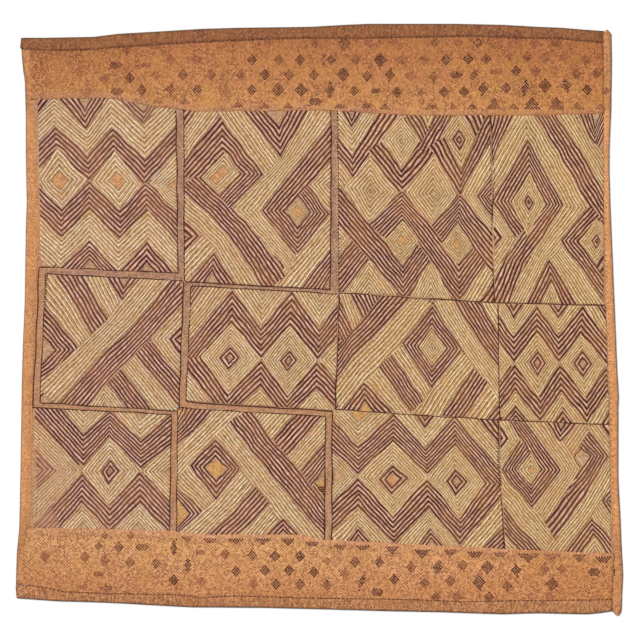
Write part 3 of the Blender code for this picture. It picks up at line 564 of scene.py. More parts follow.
# Points and faces of a closed sheet: a grid of (x, y) with heights for its underside and its face.
def closedSheet(points, low, top):
    rows, columns = points.shape[:2]
    quads = gridFaces(rows, columns)
    index = np.arange(rows * columns).reshape(rows, columns)
    rim = np.concatenate((index[0, :-1], index[:-1, -1], index[-1, :0:-1], index[:0:-1, 0]))
    after = np.roll(rim, -1)
    under = rows * columns
    walls = np.stack((rim + under, after + under, after, rim), -1)
    flat = points.reshape(-1, 2)
    rise = lie(*flat.T)
    face, back = (np.column_stack((flat, np.broadcast_to(height, (rows, columns)).ravel() + rise))
                  for height in (top, low))
    return np.concatenate((face, back)), np.concatenate((quads, quads[:, ::-1] + under, walls))


# A closed sheet's attribute: the grid's values on its face and again on its underside.
def onBothSides(values):
    return np.tile(values.ravel(), 2)


# A colour from its 0 to 255 screen values.
def paint(red, green, blue):
    share = np.array((red, green, blue)) / 255.0
    flat = np.where(share <= 0.04045, share / 12.92, ((share + 0.055) / 1.055) ** 2.4)
    return (*flat, 1.0)


# Short ways to add shader nodes to one tree. A value is a number, a colour or another node's output.
class Nodes:
    def __init__(self, tree):
        self.tree = tree

    def add(self, kind, values=None, **settings):
        node = self.tree.nodes.new(kind)
        for key, setting in settings.items():
            setattr(node, key, setting)
        for key, value in (values or {}).items():
            self.feed(node.inputs[key], value)
        return node

    def feed(self, socket, value):
        if isinstance(value, bpy.types.NodeSocket):
            self.tree.links.new(value, socket)
        else:
            socket.default_value = value

    def math(self, operation, *values):
        return self.add("ShaderNodeMath", dict(enumerate(values)), operation=operation).outputs[0]

    def times(self, first, second):
        return self.math("MULTIPLY", first, second)

    def plus(self, first, second):
        return self.math("ADD", first, second)

    def mix(self, share, first, second, blend="MIX"):
        values = {0: share, 6: first, 7: second}
        return self.add("ShaderNodeMix", values, data_type="RGBA", blend_type=blend).outputs[2]

    def mixNumbers(self, share, first, second):
        return self.add("ShaderNodeMix", {0: share, 2: first, 3: second}, data_type="FLOAT").outputs[0]

    # From a deep screen colour to a pale one.
    def shades(self, tone, deep, pale):
        return self.mix(tone, paint(*deep), paint(*pale))

    def between(self, value, start, end, low=0.0, high=1.0):
        node = self.add("ShaderNodeMapRange", {0: value, 1: start, 2: end, 3: low, 4: high})
        return node.outputs[0]

    def noise(self, vector, scale, detail=2.0, roughness=0.5):
        values = {"Vector": vector, "Scale": scale, "Detail": detail, "Roughness": roughness}
        return self.add("ShaderNodeTexNoise", values).outputs[0]

    def stretch(self, vector, sizes):
        return self.add("ShaderNodeVectorMath", {0: vector, 1: sizes}, operation="MULTIPLY").outputs[0]

    def streaks(self, vector, sizes, detail=1.0, roughness=0.5):
        return self.noise(self.stretch(vector, sizes), 1.0, detail, roughness)

    def split(self, vector):
        return self.add("ShaderNodeSeparateXYZ", {0: vector}).outputs

    # A random tone for each pair of whole numbers.
    def ownTone(self, x, y):
        cell = self.add("ShaderNodeCombineXYZ", {0: x, 1: y}).outputs[0]
        node = self.add("ShaderNodeTexWhiteNoise", {"Vector": cell}, noise_dimensions="2D")
        return node.outputs["Value"]

    # An attribute of the mesh.
    def value(self, name):
        return self.add("ShaderNodeAttribute", attribute_name=name).outputs["Fac"]

    def place(self):
        return self.add("ShaderNodeTexCoord").outputs["Object"]


# A shader node group with those sockets, each name: kind. Returns its nodes, its inputs and its
# output.
def newGroup(name, inputs, outputs):
    tree = bpy.data.node_groups.new(name, "ShaderNodeTree")
    for key, kind in inputs.items():
        tree.interface.new_socket(key, in_out="INPUT", socket_type=kind)
    for key, kind in outputs.items():
        tree.interface.new_socket(key, in_out="OUTPUT", socket_type=kind)
    nodes = Nodes(tree)
    return nodes, nodes.add("NodeGroupInput").outputs, nodes.add("NodeGroupOutput").inputs


number, vector, colour = "NodeSocketFloat", "NodeSocketVector", "NodeSocketColor"

# The weave: how far its yarns wander and over what scale, how soft a crossing is, how fine its streaks
# are across and along a yarn, and how much of a crossing's tone is its own
weaving = dict(wander=0.0025, wanderScale=60.0, soft=0.3, fine=560.0, coarse=50.0, own=0.62, over=0.38)


# Plain raffia weave on Object coordinates: yarns over and under each other, each crossing of its
# own tone.
def weaveGroup():
    nodes, given, result = newGroup("weave", {"Vector": vector, "Yarn": number, "Streaks": number},
                                    {"Height": number, "Tone": number})
    wander, fine, coarse = weaving["wander"], weaving["fine"], weaving["coarse"]
    drift = nodes.add("ShaderNodeTexNoise",
                      {"Vector": given["Vector"], "Scale": weaving["wanderScale"], "Detail": 2.0})
    shift = nodes.stretch(drift.outputs["Color"], (wander, wander, 0.0))
    place = nodes.add("ShaderNodeVectorMath", {0: given["Vector"], 1: shift}, operation="ADD").outputs[0]
    parts = nodes.split(place)
    across, up = (nodes.math("DIVIDE", parts[k], given["Yarn"]) for k in (0, 1))
    warp, weft = (nodes.math("SINE", nodes.times(count, halfTurn)) for count in (across, up))
    over = nodes.between(nodes.times(warp, weft), -weaving["soft"], weaving["soft"])
    own = nodes.ownTone(nodes.math("FLOOR", across), nodes.math("FLOOR", up))
    upright = nodes.streaks(place, (fine, coarse, 0.0))
    flat = nodes.streaks(place, (coarse, fine, 0.0))
    plain = nodes.plus(nodes.times(own, weaving["own"]), nodes.times(over, weaving["over"]))
    tone = nodes.mixNumbers(given["Streaks"], plain, nodes.mixNumbers(over, upright, flat))
    humps = nodes.plus(nodes.math("ABSOLUTE", warp), nodes.math("ABSOLUTE", weft))
    nodes.feed(result["Tone"], tone)
    nodes.feed(result["Height"], nodes.plus(nodes.times(humps, 0.5), tone))
    return nodes.tree


# Kinds of wear: the scale, detail and roughness of their patches, where these start and end, how
# strong they are and their colour
wear = {
    "golden": dict(noise=(38.0, 3.0, 0.6), span=(0.42, 0.62), strength=1.0, colour=(198, 138, 74)),
    "reddish": dict(noise=(52.0, 3.0, 0.6), span=(0.55, 0.72), strength=1.0, colour=(186, 112, 84)),
    "grime": dict(noise=(17.0, 4.0, 0.6), span=(0.56, 0.74), strength=0.8, colour=(138, 90, 66)),
    "specks": dict(noise=(460.0, 2.0, 0.5), span=(0.61, 0.73), strength=1.0, colour=(104, 60, 40)),
}


# Wear over a colour, on Object coordinates: one kind after the other.
def ageingGroup():
    nodes, given, result = newGroup("ageing", {"Color": colour, "Vector": vector, "Amount": number},
                                    {"Color": colour})
    aged = given["Color"]
    for kind in wear.values():
        patches = nodes.between(nodes.noise(given["Vector"], *kind["noise"]), *kind["span"], 0.0,
                                kind["strength"])
        aged = nodes.mix(nodes.times(patches, given["Amount"]), aged, paint(*kind["colour"]))
    nodes.feed(result["Color"], aged)
    return nodes.tree


# Stitches along a line, on UV: U is millimetres along it and V counts lines. Each is slanted.
def stitchGroup():
    nodes, given, result = newGroup("stitches", {"Vector": vector, "Length": number, "Slant": number},
                                    {"Height": number, "Tone": number, "Line": number})
    parts = nodes.split(given["Vector"])
    lineNumber = nodes.math("ROUND", parts[1])
    slant = nodes.times(nodes.math("SUBTRACT", parts[1], lineNumber), given["Slant"])
    uneven = nodes.streaks(given["Vector"], (0.21, 1.7, 0.0))
    shift = nodes.plus(nodes.times(lineNumber, 0.37), nodes.plus(slant, nodes.times(uneven, 1.6)))
    along = nodes.plus(nodes.math("DIVIDE", parts[0], given["Length"]), shift)
    wave = nodes.math("ABSOLUTE", nodes.math("SINE", nodes.times(along, halfTurn)))
    half = nodes.math("ROUND", nodes.times(parts[1], 2.0))
    nodes.feed(result["Height"], nodes.math("POWER", wave, 0.5))
    nodes.feed(result["Tone"], nodes.ownTone(nodes.math("FLOOR", along), half))
    nodes.feed(result["Line"], uneven)
    return nodes.tree


groups = {"weave": weaveGroup(), "ageing": ageingGroup(), "stitches": stitchGroup()}


# A Principled material's nodes and its shader.
def newMaterial(name, roughness):
    material = bpy.data.materials.new(name)
    material.use_nodes = True
    nodes = Nodes(material.node_tree)
    shader = material.node_tree.nodes["Principled BSDF"]
    shader.inputs["Roughness"].default_value = roughness
    shader.inputs["Specular IOR Level"].default_value = 0.15
    return material, nodes, shader


# Adds a shared group and feeds its inputs. Returns its outputs.
def applyGroup(nodes, name, **values):
    node = nodes.add("ShaderNodeGroup", node_tree=groups[name])
    for key, value in values.items():
        nodes.feed(node.inputs[key], value)
    return node.outputs


# Gives the shader its colour, and bump from a height.
def dressShader(nodes, shader, colour, height, strength=0.6, distance=0.0005):
    nodes.feed(shader.inputs["Base Color"], colour)
    bump = nodes.add("ShaderNodeBump", {"Strength": strength, "Distance": distance, "Height": height})
    nodes.feed(shader.inputs["Normal"], bump.outputs["Normal"])


# A weave's colour and height: base turns its tone into a colour, and then it is aged. yarn is how far
# apart its yarns are, in metres.
def clothColour(nodes, place, base, streaks, ageing, yarn):
    weave = applyGroup(nodes, "weave", Vector=place, Yarn=yarn, Streaks=streaks)
    tinted = base(nodes.between(weave["Tone"], 0.15, 0.85))
    aged = applyGroup(nodes, "ageing", Color=tinted, Vector=place, Amount=ageing)
    return aged["Color"], weave["Height"]


# The plain cloths: their deep and pale tones, what darkens a hem, the tones beside the seam, and how
# worn, how streaked and how bleached they are
cloths = {
    "topBand": dict(name="top_band_raffia", tones=((92, 48, 26), (224, 153, 97)), hemmed=(206, 196, 216),
                    seamed=((130, 76, 54), (214, 154, 118)), ageing=0.42, streaks=0.3, sunned=1.0),
    "bottomBand": dict(name="bottom_band_raffia", tones=((106, 56, 34), (244, 178, 120)),
                       hemmed=(240, 232, 242), seamed=((140, 84, 58), (224, 164, 126)), ageing=0.32,
                       streaks=0.3, sunned=1.0),
    "strip": dict(name="strip_raffia", tones=((153, 95, 56), (250, 182, 126)), hemmed=(255, 255, 255),
                  seamed=((98, 50, 30), (232, 164, 112)), ageing=0.3, streaks=0.5, sunned=0.0),
}
# What the light has done to them, as factors on their colour
white = (1.0, 1.0, 1.0, 1.0)
bleach = dict(seam=(1.11, 1.18, 1.22, 1.0), outside=(0.95, 0.88, 0.9, 1.0), ends=(0.92, 0.9, 0.9, 1.0),
              right=(1.0, 0.96, 0.86, 1.0))


# Plain woven raffia. The attribute hem darkens it along a hem, where streaks are painted darker as
# crease shade, and the attribute edge paints dirt and painted shade along the rolled outer edges and a
# painted shadow along the hem seam. As far as sunned says, it is paler near the panel, browner towards
# its hem and ends, and more golden at the right.
def raffiaCloth(name, tones, hemmed, seamed, ageing, streaks, sunned):
    material, nodes, shader = newMaterial(name, roughness=0.78)
    place, hem = nodes.place(), nodes.value("hem")
    shade = nodes.mix(nodes.times(hem, 0.75), white, paint(*hemmed))
    # Streaks along the hem are painted darker as crease shade
    creaseShadeMask = nodes.between(nodes.streaks(place, (520.0, 90.0, 0.0), 2.0, 0.6), 0.36, 0.54, 0.5, 0.0)
    creaseShade = nodes.times(creaseShadeMask, nodes.math("POWER", hem, 4.0))

    def base(tone):
        return nodes.mix(nodes.times(nodes.value("seam"), 0.7), nodes.shades(tone, *tones),
                         nodes.shades(tone, *seamed))

    tinted, height = clothColour(nodes, place, base, streaks, ageing, yarn=0.00142)
    x, y, _ = nodes.split(place)
    outward = nodes.between(nodes.math("ABSOLUTE", y), 0.222, 0.272)
    endward = nodes.between(nodes.math("ABSOLUTE", x), 0.12, 0.3)
    sun = nodes.mix(outward, bleach["seam"], bleach["outside"])
    sun = nodes.mix(endward, sun, bleach["ends"], "MULTIPLY")
    sun = nodes.mix(nodes.between(x, 0.1, 0.3), sun, bleach["right"], "MULTIPLY")
    sun = nodes.mix(nodes.times(nodes.between(hem, 0.0, 1.0, 1.0, 0.0), sunned), white, sun)
    tinted = nodes.mix(1.0, tinted, sun, "MULTIPLY")
    creaseShaded = nodes.mix(creaseShade, nodes.mix(1.0, tinted, shade, "MULTIPLY"), paint(96, 62, 44))
    # edge paints dirt and painted shade on the rolled outer edges, and a painted shadow along the hem seam
    worn = nodes.mix(nodes.times(nodes.value("edge"), 0.75), creaseShaded, paint(80, 60, 48))
    dressShader(nodes, shader, worn, height)
    return material


# The panel's bare weave, deep and pale: mauve tan in the channels, browner beside the strips, ochre
# inside the compartments and in the middles of the lozenges
groundTones = {
    "channel": ((114, 78, 62), (200, 154, 128)),
    "margin": ((146, 100, 70), (206, 156, 118)),
    "inside": ((144, 106, 76), (214, 174, 136)),
    "core": ((162, 108, 66), (222, 168, 116)),
    "golden": ((164, 114, 62), (226, 174, 112)),
}


# The panel's bare weave. Its attributes say where each tone is.
def groundCloth():
    material, nodes, shader = newMaterial("embroidered_ground", roughness=0.8)

    def base(tone):
        shade = {part: nodes.shades(tone, *pair) for part, pair in groundTones.items()}
        plain = nodes.mix(nodes.value("margin"), shade["channel"], shade["margin"])
        plain = nodes.mix(nodes.value("inside"), plain, shade["inside"])
        middle = nodes.mix(nodes.value("golden"), shade["core"], shade["golden"])
        return nodes.mix(nodes.value("core"), plain, middle)

    tinted, height = clothColour(nodes, nodes.place(), base, streaks=0.3, ageing=0.16, yarn=0.0016)
    dressShader(nodes, shader, tinted, height)
    return material


# Half the width of a stitched line, as a share of the way to the next one
lineShare = {dark: 0.2, light: 0.155}
# The embroidery's colours: lines, the pile between dark ones and the ground between pale ones, deep
# and pale, and then single ones: the painted shade at the foot of the pile beside a dark line, the
# painted shadow beside a pale line, and worn thread
threadTones = {
    "darkLine": ((22, 2, 0), (92, 42, 16)),
    "pile": ((134, 86, 64), (250, 208, 180)),
    "lightLine": ((216, 162, 104), (255, 250, 212)),
    "olive": ((122, 84, 42), (226, 184, 130)),
}
pileFootShade, lineShadow, wornThread = (134, 86, 68), (62, 30, 12), (184, 134, 98)


# Stitched lines and the pile between them. dark is 1 for dark rows, tone differs by line, fade is
# wear.
def embroideryThread():
    material, nodes, shader = newMaterial("embroidery_thread", roughness=0.72)
    uv = nodes.add("ShaderNodeUVMap", uv_map="UVMap").outputs[0]
    place, isDark = nodes.place(), nodes.value("dark")
    across = nodes.split(uv)[1]
    offset = nodes.math("SUBTRACT", across, nodes.math("ROUND", across))
    off = nodes.math("ABSOLUTE", offset)
    stitches = applyGroup(nodes, "stitches", Vector=uv, Length=1.9, Slant=1.1)
    swell = nodes.between(stitches["Line"], 0.3, 0.7, -0.04, 0.04)
    edge = nodes.plus(nodes.between(isDark, 0.0, 1.0, lineShare[light], lineShare[dark]), swell)
    isGap = nodes.between(nodes.math("SUBTRACT", off, edge), -0.05, 0.05)
    grain = nodes.between(nodes.noise(place, 900.0, 1.0), 0.3, 0.7)
    finer = nodes.plus(nodes.times(nodes.value("tone"), 0.2), nodes.times(grain, 0.3))
    tone = nodes.plus(nodes.times(stitches["Tone"], 0.5), finer)
    shade = {part: nodes.shades(tone, *pair) for part, pair in threadTones.items()}
    # The pile's flanks beside a dark line are painted in a deeper shade, its middle in the pile's tone
    darkGap = nodes.mix(nodes.between(off, lineShare[dark], 0.4), paint(*pileFootShade), shade["pile"])
    shadow = nodes.times(nodes.between(offset, 0.15, 0.2), nodes.between(offset, 0.3, 0.42, 1.0, 0.0))
    lightGap = nodes.mix(nodes.times(shadow, 0.85), shade["olive"], paint(*lineShadow))
    row = nodes.mix(isDark, nodes.mix(isGap, shade["lightLine"], lightGap),
                    nodes.mix(isGap, shade["darkLine"], darkGap))
    patches = nodes.between(nodes.noise(place, 160.0, 3.0), 0.35, 0.55, 0.5, 1.0)
    faded = nodes.mix(nodes.times(nodes.value("fade"), patches), row, paint(*wornThread))
    aged = applyGroup(nodes, "ageing", Color=faded, Vector=place, Amount=0.16)
    rightward = nodes.between(nodes.split(place)[0], -0.2, 0.2)
    sun = nodes.mix(rightward, (1.02, 1.0, 1.1, 1.0), (1.0, 0.975, 0.93, 1.0))
    sunned = nodes.mix(1.0, aged["Color"], sun, "MULTIPLY")
    dressShader(nodes, shader, sunned, stitches["Height"], strength=0.7, distance=0.0004)
    return material


# The sewing threads: deep, pale and worn
threads = {
    "thread": ("dark_thread", (46, 20, 16), (100, 56, 42), (168, 118, 88)),
    "float": ("spot_thread", (24, 4, 6), (84, 38, 34), (178, 112, 76)),
    "check": ("check_thread", (170, 110, 80), (230, 180, 150), (186, 126, 84)),
    "whip": ("whip_thread", (84, 48, 32), (156, 106, 72), (190, 140, 104)),
}


# Single stitches, each of its own tone. The attribute fade turns them to the worn colour.
def plainThread(name, deep, pale, worn):
    material, nodes, shader = newMaterial(name, roughness=0.75)
    thread = nodes.shades(nodes.value("tone"), deep, pale)
    nodes.feed(shader.inputs["Base Color"], nodes.mix(nodes.value("fade"), thread, paint(*worn)))
    return material


materials = {
    "ground": groundCloth(),
    **{key: raffiaCloth(**look) for key, look in cloths.items()},
    "embroidery": embroideryThread(),
    **{key: plainThread(*look) for key, look in threads.items()},
}

# The embroidery: the grid's step along a line, how high lines and gaps are and their foot, where a
# rib's flanks are, how deep a covered part, a skirt and what is past the border go, how far it goes
# under a band, and how uneven the lines are
stitching = dict(step=2.1, darkHeight=0.85, darkGap=0.7, lightHeight=0.8, lightGap=0.35, foot=0.25,
                 flank=0.45, nearest=0.04, sunk=0.7, under=0.15, outside=0.3, underBand=0.8,
                 wobble=0.35, wobbleLength=33.0, drift=0.07, driftLength=20.0)


# A border's left and right side at those heights on the chart.
def sidesOf(border, y):
    topLeft, topRight, bottomRight, bottomLeft = border
    return [np.interp(y, (upper[1], lower[1]), (upper[0], lower[0]))
            for upper, lower in ((topLeft, bottomLeft), (topRight, bottomRight))]


# A border's top and bottom at those places across the chart.
def endsOf(border, x):
    topLeft, topRight, bottomRight, bottomLeft = border
    return [np.interp(x, (left[0], right[0]), (left[1], right[1]))
            for left, right in ((topLeft, topRight), (bottomLeft, bottomRight))]


# Whether places on the chart are inside a compartment's border.
def insideBorder(border, x, y):
    left, right = sidesOf(border, y)
    top, bottom = endsOf(border, x)
    return (x > left) & (x < right) & (y > top) & (y < bottom)


# Chart points moved in to a compartment's border, or just under a band, and which were outside it.
def clampToBorder(border, points):
    x, y = points.T
    newX = np.clip(x, *sidesOf(border, y))
    top, bottom = endsOf(border, newX)
    seamTop = chartMiddle - read(fieldTop, newX - chartMiddle) - stitching["underBand"]
    seamBottom = chartMiddle - read(fieldBottom, newX - chartMiddle) + stitching["underBand"]
    newY = np.clip(y, np.maximum(top, seamTop), np.minimum(bottom, seamBottom))
    outside = (np.abs(newX - x) > tiny) | (np.abs(newY - y) > tiny)
    return np.stack((newX, newY), -1), outside


# Whether points are inside a polygon, by counting the sides that a ray to the right crosses.
def insidePolygon(corners, points):
    x, y = points.T
    found = np.zeros(len(points), bool)
    for (x1, y1), (x2, y2) in zip(corners, np.roll(corners, -1, 0)):
        spans = (y1 > y) != (y2 > y)
        if y1 != y2:
            found ^= spans & (x < (x2 - x1) * (y - y1) / (y2 - y1) + x1)
    return found


# The row itself, from half a line before its first to half a line past its last, and its skirts. A
# ring has none inside, and neither has a row that narrows much.
def rowSpans(row):
    last = row.lines - 0.5
    spans = [(-0.5 - skirt, -0.5, True)]
    before, after = (stepsOf(np.array(path, float)).sum() for path in (row.first, row.last))
    if row.first[0] != row.first[-1] and after > 0.72 * before:
        spans.append((last, last + skirt, True))
    return spans + [(-0.5, last, False)]


# The polygon that a row covers between two of its lines, counted from its first.
def rowOutline(row, low, high):
    first, last = np.array(row.first, float), np.array(row.last, float)
    step = (last - first) / max(row.lines - 1, 1)
    if row.first[0] == row.first[-1]:
        return (first + step * low)[:-1]
    return np.concatenate((first + step * low, (first + step * high)[::-1]))


# Part of a row as one ridged grid: point(u, v) = first(u) + (last(u) - first(u)) v / (lines - 1). v
# counts lines. Its height is a round rib over each line and another over each gap.
def rowSurface(row, low, high, seed):
    first, last = np.array(row.first, float), np.array(row.last, float)
    reach = np.maximum(stepsOf(first), stepsOf(last))
    counts = np.maximum(1, np.round(reach / stitching["step"])).astype(int)
    along = np.concatenate([k + np.arange(n) / n for k, n in enumerate(counts)] + [[len(counts)]])
    start, end = (pointsAt(along, np.arange(len(first)), path) for path in (first, last))
    half = lineShare[row.thread]
    gap = 0.5 - half
    flank = stitching["flank"]
    one = np.array((-half, -flank * half, flank * half, half, 0.5 - flank * gap, 0.5 + flank * gap))
    across = (np.arange(np.floor(low) - 1, high + 1)[:, None] + one).ravel()
    kept = (across > low + stitching["nearest"]) & (across < high - stitching["nearest"])
    across = np.concatenate(([low], across[kept], [high]))
    length = distances((start + end) * 0.5)
    lineNumber = np.round(across)
    drift = ripple(length[None, :], lineNumber[:, None] * 31.0, stitching["driftLength"], seed)
    share = (across[:, None] + stitching["drift"] * drift) / max(row.lines - 1, 1)
    points = start[None] + (end - start)[None] * share[:, :, None]
    off = np.abs(across - lineNumber)
    onLine = off <= half + tiny
    ridge = np.cos(np.minimum(np.where(onLine, off / half, (0.5 - off) / gap), 1.0) * quarterTurn)
    foot = stitching["foot"] * stitching[row.thread + "Gap"]
    crest = np.where(onLine, stitching[row.thread + "Height"], stitching[row.thread + "Gap"])
    height = np.broadcast_to((foot + (crest - foot) * ridge)[:, None], share.shape)
    tones = np.random.default_rng(seed).uniform(0.0, 1.0, row.lines + 2 * spareLines)
    tone = np.broadcast_to(tones[lineNumber.astype(int) + spareLines][:, None], share.shape)
    uv = np.stack(np.broadcast_arrays(length[None, :] + seed * 17.0, across[:, None]), -1)
    return points, height, uv, tone


# Chart points with the cloth's own slight unevenness.
def warped(points):
    shifts = [ripple(*points.T, stitching["wobbleLength"], seed) for seed in (11, 12)]
    return points + stitching["wobble"] * np.stack(shifts, -1)


# All the rows of one compartment as one piece. A later row lies over the earlier ones, and all over
# skirts.
def embroider(key):
    layers = []
    for number, row in enumerate(charts[key]):
        for low, high, under in rowSpans(row):
            layers.append((not under, number, row, low, high, key[0] * 1000 + key[1] * 100 + number))
    layers.sort(key=lambda layer: layer[:2])
    outlines = [rowOutline(row, low, high) for _, _, row, low, high, _ in layers]
    parts = []
    count = 0
    for number, (main, _, row, low, high, seed) in enumerate(layers):
        grid, height, uv, tone = rowSurface(row, low, high, seed)
        points = grid.reshape(-1, 2)
        covered = np.zeros(len(points), bool)
        for later in outlines[number + 1:]:
            covered |= insidePolygon(later, points)
        points, outside = clampToBorder(borders[key], warped(points))
        quads = gridFaces(*grid.shape[:2])
        quads = quads[~(covered[quads].all(1) | outside[quads].all(1))]
        rise = height.ravel() - (0.0 if main else stitching["under"])
        rise[covered] = -stitching["sunk"]
        rise[outside] = -stitching["outside"]
        kind = np.ones((len(points), 2)) * (row.thread == dark, row.fade)
        parts.append((points, rise, quads + count, uv.reshape(-1, 2), tone.ravel(), kind))
        count += len(points)
    places, rise, quads, uv, tone, kind = joined(parts)
    flat = fromChart(places)
    points = np.column_stack((flat, cloth["thick"] + cloth["pad"] + lie(*flat.T) + rise))
    quads = facingUp(points, quads)
    used, packed = np.unique(quads, return_inverse=True)
    values = {"dark": kind[used, 0], "tone": tone[used], "fade": kind[used, 1]}
    piece = putMesh(f"embroidery_{key[0]}_{key[1]}", points[used], packed.reshape(quads.shape),
                    materials["embroidery"], uv[used], values)
    return piece


# The woven panel: its size for the grid, how much of the pile it rises inside a compartment, and where
# the margins are, in mm from the middle: how far out to the left and right, and how the rest of it
# turns browner towards the bottom
panelPlan = dict(wide=580, tall=440, raised=0.8, left=-274.5, right=284.0, below=(-60.0, 40.0),
                 brown=(0.8, 0.0))


# The woven panel: a grid between the strips and the bands, a little higher under the embroidery.
def groundPanel():
    columns, rows = (int(panelPlan[side] / cloth["grid"]) for side in ("wide", "tall"))
    across, up = np.linspace(0, 1, columns), np.linspace(0, 1, rows)
    x = np.zeros((rows, columns))
    y = np.zeros((rows, columns))
    # The sides depend on the height and the seams on the place across, so a few rounds settle both.
    for _ in range(8):
        low = read(fieldBottom, x) - cloth["lap"]
        high = read(fieldTop, x) + cloth["lap"]
        y = low + (high - low) * up[:, None]
        left = read(leftStripInner, y) - cloth["tuck"]
        right = read(rightStripInner, y) + cloth["tuck"]
        x = left + (right - left) * across[None]
    inside = np.zeros(x.shape)
    for border in borders.values():
        inside += insideBorder(border, x + chartMiddle, chartMiddle - y)
    inside = np.minimum(inside, 1.0)
    beside = (x < panelPlan["left"]) | (x > panelPlan["right"])
    margin = np.where(beside, 1.0, np.interp(y, panelPlan["below"], panelPlan["brown"]))
    raised = cloth["pad"] * panelPlan["raised"] * inside
    points, faces = closedSheet(np.stack((x, y), -1), 0.0, cloth["thick"] + raised)
    values = {"inside": onBothSides(inside), "margin": onBothSides(margin)}
    return putMesh("woven_panel", points, faces, materials["ground"], values=values)


# A grid with more rows, none further apart than the spacing.
def refined(grid, spacing):
    steps = stepsOf(grid[:, grid.shape[1] // 2, :2])
    counts = np.maximum(1, np.ceil(steps / spacing)).astype(int)
    rows = [grid[k] + (grid[k + 1] - grid[k]) * share for k, n in enumerate(counts)
            for share in np.arange(n) / n]
    return np.array(rows + [grid[-1]])


# A band: its length for the grid, its ends' inset and tuck, and how far from the seam its tone changes
bandPlan = dict(long=590, inset=1.5, firstInset=0.6, tuck=0.25, seamTone=(2.0, 9.0))


# A plain band: laid over the panel at its seam, stepping down past it, and hemmed along its outer
# side. up is 1 where the outer side is above the seam and -1 where it is below.
def bandSheet(name, seam, hemSeam, side, up, material):
    over, thick, hem = cloth["thick"] + cloth["gap"], cloth["thick"], cloth["hem"]
    lap = cloth["lap"] + cloth["gap"]

    def inCloth(share):
        return lambda x: read(seam, x) * (1.0 - share) + read(hemSeam, x) * share

    places = {"seam": inCloth(0.0), "third": inCloth(0.35), "twoThirds": inCloth(0.65),
              "hem": inCloth(1.0), "side": lambda x: read(side, x)}
    # Each rung is a line along the band: its place and how far outward of it, its underside, its face,
    # how hemmed it is and how dark its edge is painted: a painted shadow along the hem seam, and dirt with
    # painted shade at the rolled outer edge. From the first rung that is all hem on, it reaches the
    # corner.
    rungs = [
        ("seam", 0.0, over - 0.1, over + 0.05, 0, 0),
        ("seam", 0.6, over, over + thick * 0.7, 0, 0),
        ("seam", cloth["fold"], over, over + thick, 0, 0),
        ("seam", lap, over, over + thick, 0, 0),
        ("seam", lap + cloth["step"], 0.0, thick, 0, 0),
        ("third", 0.0, 0.0, thick, 0, 0),
        ("twoThirds", 0.0, 0.0, thick, 0, 0),
        ("hem", -9.0, 0.0, thick, 0.05, 0),
        ("hem", -0.9, 0.0, thick, 0.45, 0),
        ("hem", -0.3, 0.0, thick * 0.85, 0.5, 0.25),
        ("hem", 0.0, 0.0, thick * 0.95, 1, 0.4),
        ("hem", 0.7, 0.0, hem * 0.85, 1, 0),
        ("hem", 1.8, 0.0, hem, 1, 0),
        ("side", -2.2, 0.0, hem, 1, 0.05),
        ("side", -1.2, 0.0, hem * 0.95, 1, 0.6),
        ("side", -0.6, 0.1, hem * 0.9, 1, 1),
        ("side", 0.0, 0.6, thick, 1, 1),
    ]
    count = int(bandPlan["long"] / cloth["grid"])
    inset = np.full(count, bandPlan["inset"])
    inset[:2] = 0.0, bandPlan["firstInset"]
    share = np.concatenate(((0.0, 0.0), np.linspace(0.0, 1.0, count - 2)))
    grid = []
    for place, shift, low, top, hemmed, worn in rungs:
        left, tuck = (leftSide, 0.0) if hemmed == 1 else (leftStripInner, bandPlan["tuck"])
        across = np.full(count, 0.0)
        # A few rounds, as for the panel
        for _ in range(6):
            y = places[place](across) + up * shift
            start = read(left, y) - tuck
            finish = read(rightStripInner, y) + bandPlan["tuck"]
            across = start + inset + (finish - start - inset) * share
        edge = np.full(count, float(worn))
        # The band's end on the hem is painted dark too: dirt and painted shade at its rolled edge
        if hemmed == 1:
            edge[:2] = 1.0
        heights = np.broadcast_to((low, top, hemmed), (count, 3))
        grid.append(np.column_stack((across, places[place](across) + up * shift, heights, edge)))
    grid = refined(np.array(grid), cloth["grid"])[::up]
    x, y, low, top, hemmed, edge = np.moveaxis(grid, -1, 0)
    points, faces = closedSheet(grid[:, :, :2], low, top)
    beside = np.interp(up * (y - read(seam, x)), bandPlan["seamTone"], (1.0, 0.0))
    values = {"hem": onBothSides(hemmed), "edge": onBothSides(edge), "seam": onBothSides(beside)}
    return putMesh(name, points, faces, material, values=values)


# A strip: where it turns thin beside the bands, and where it takes their seams' tone
stripPlan = dict(turns=(-280.0, -274.0, -238.0, -226.0, 205.0, 217.0, 272.0, 278.0),
                 full=(1.0, 0.0, 0.0, 1.0, 1.0, 0.0, 0.0, 1.0), seamTone=(200.0, 215.0))


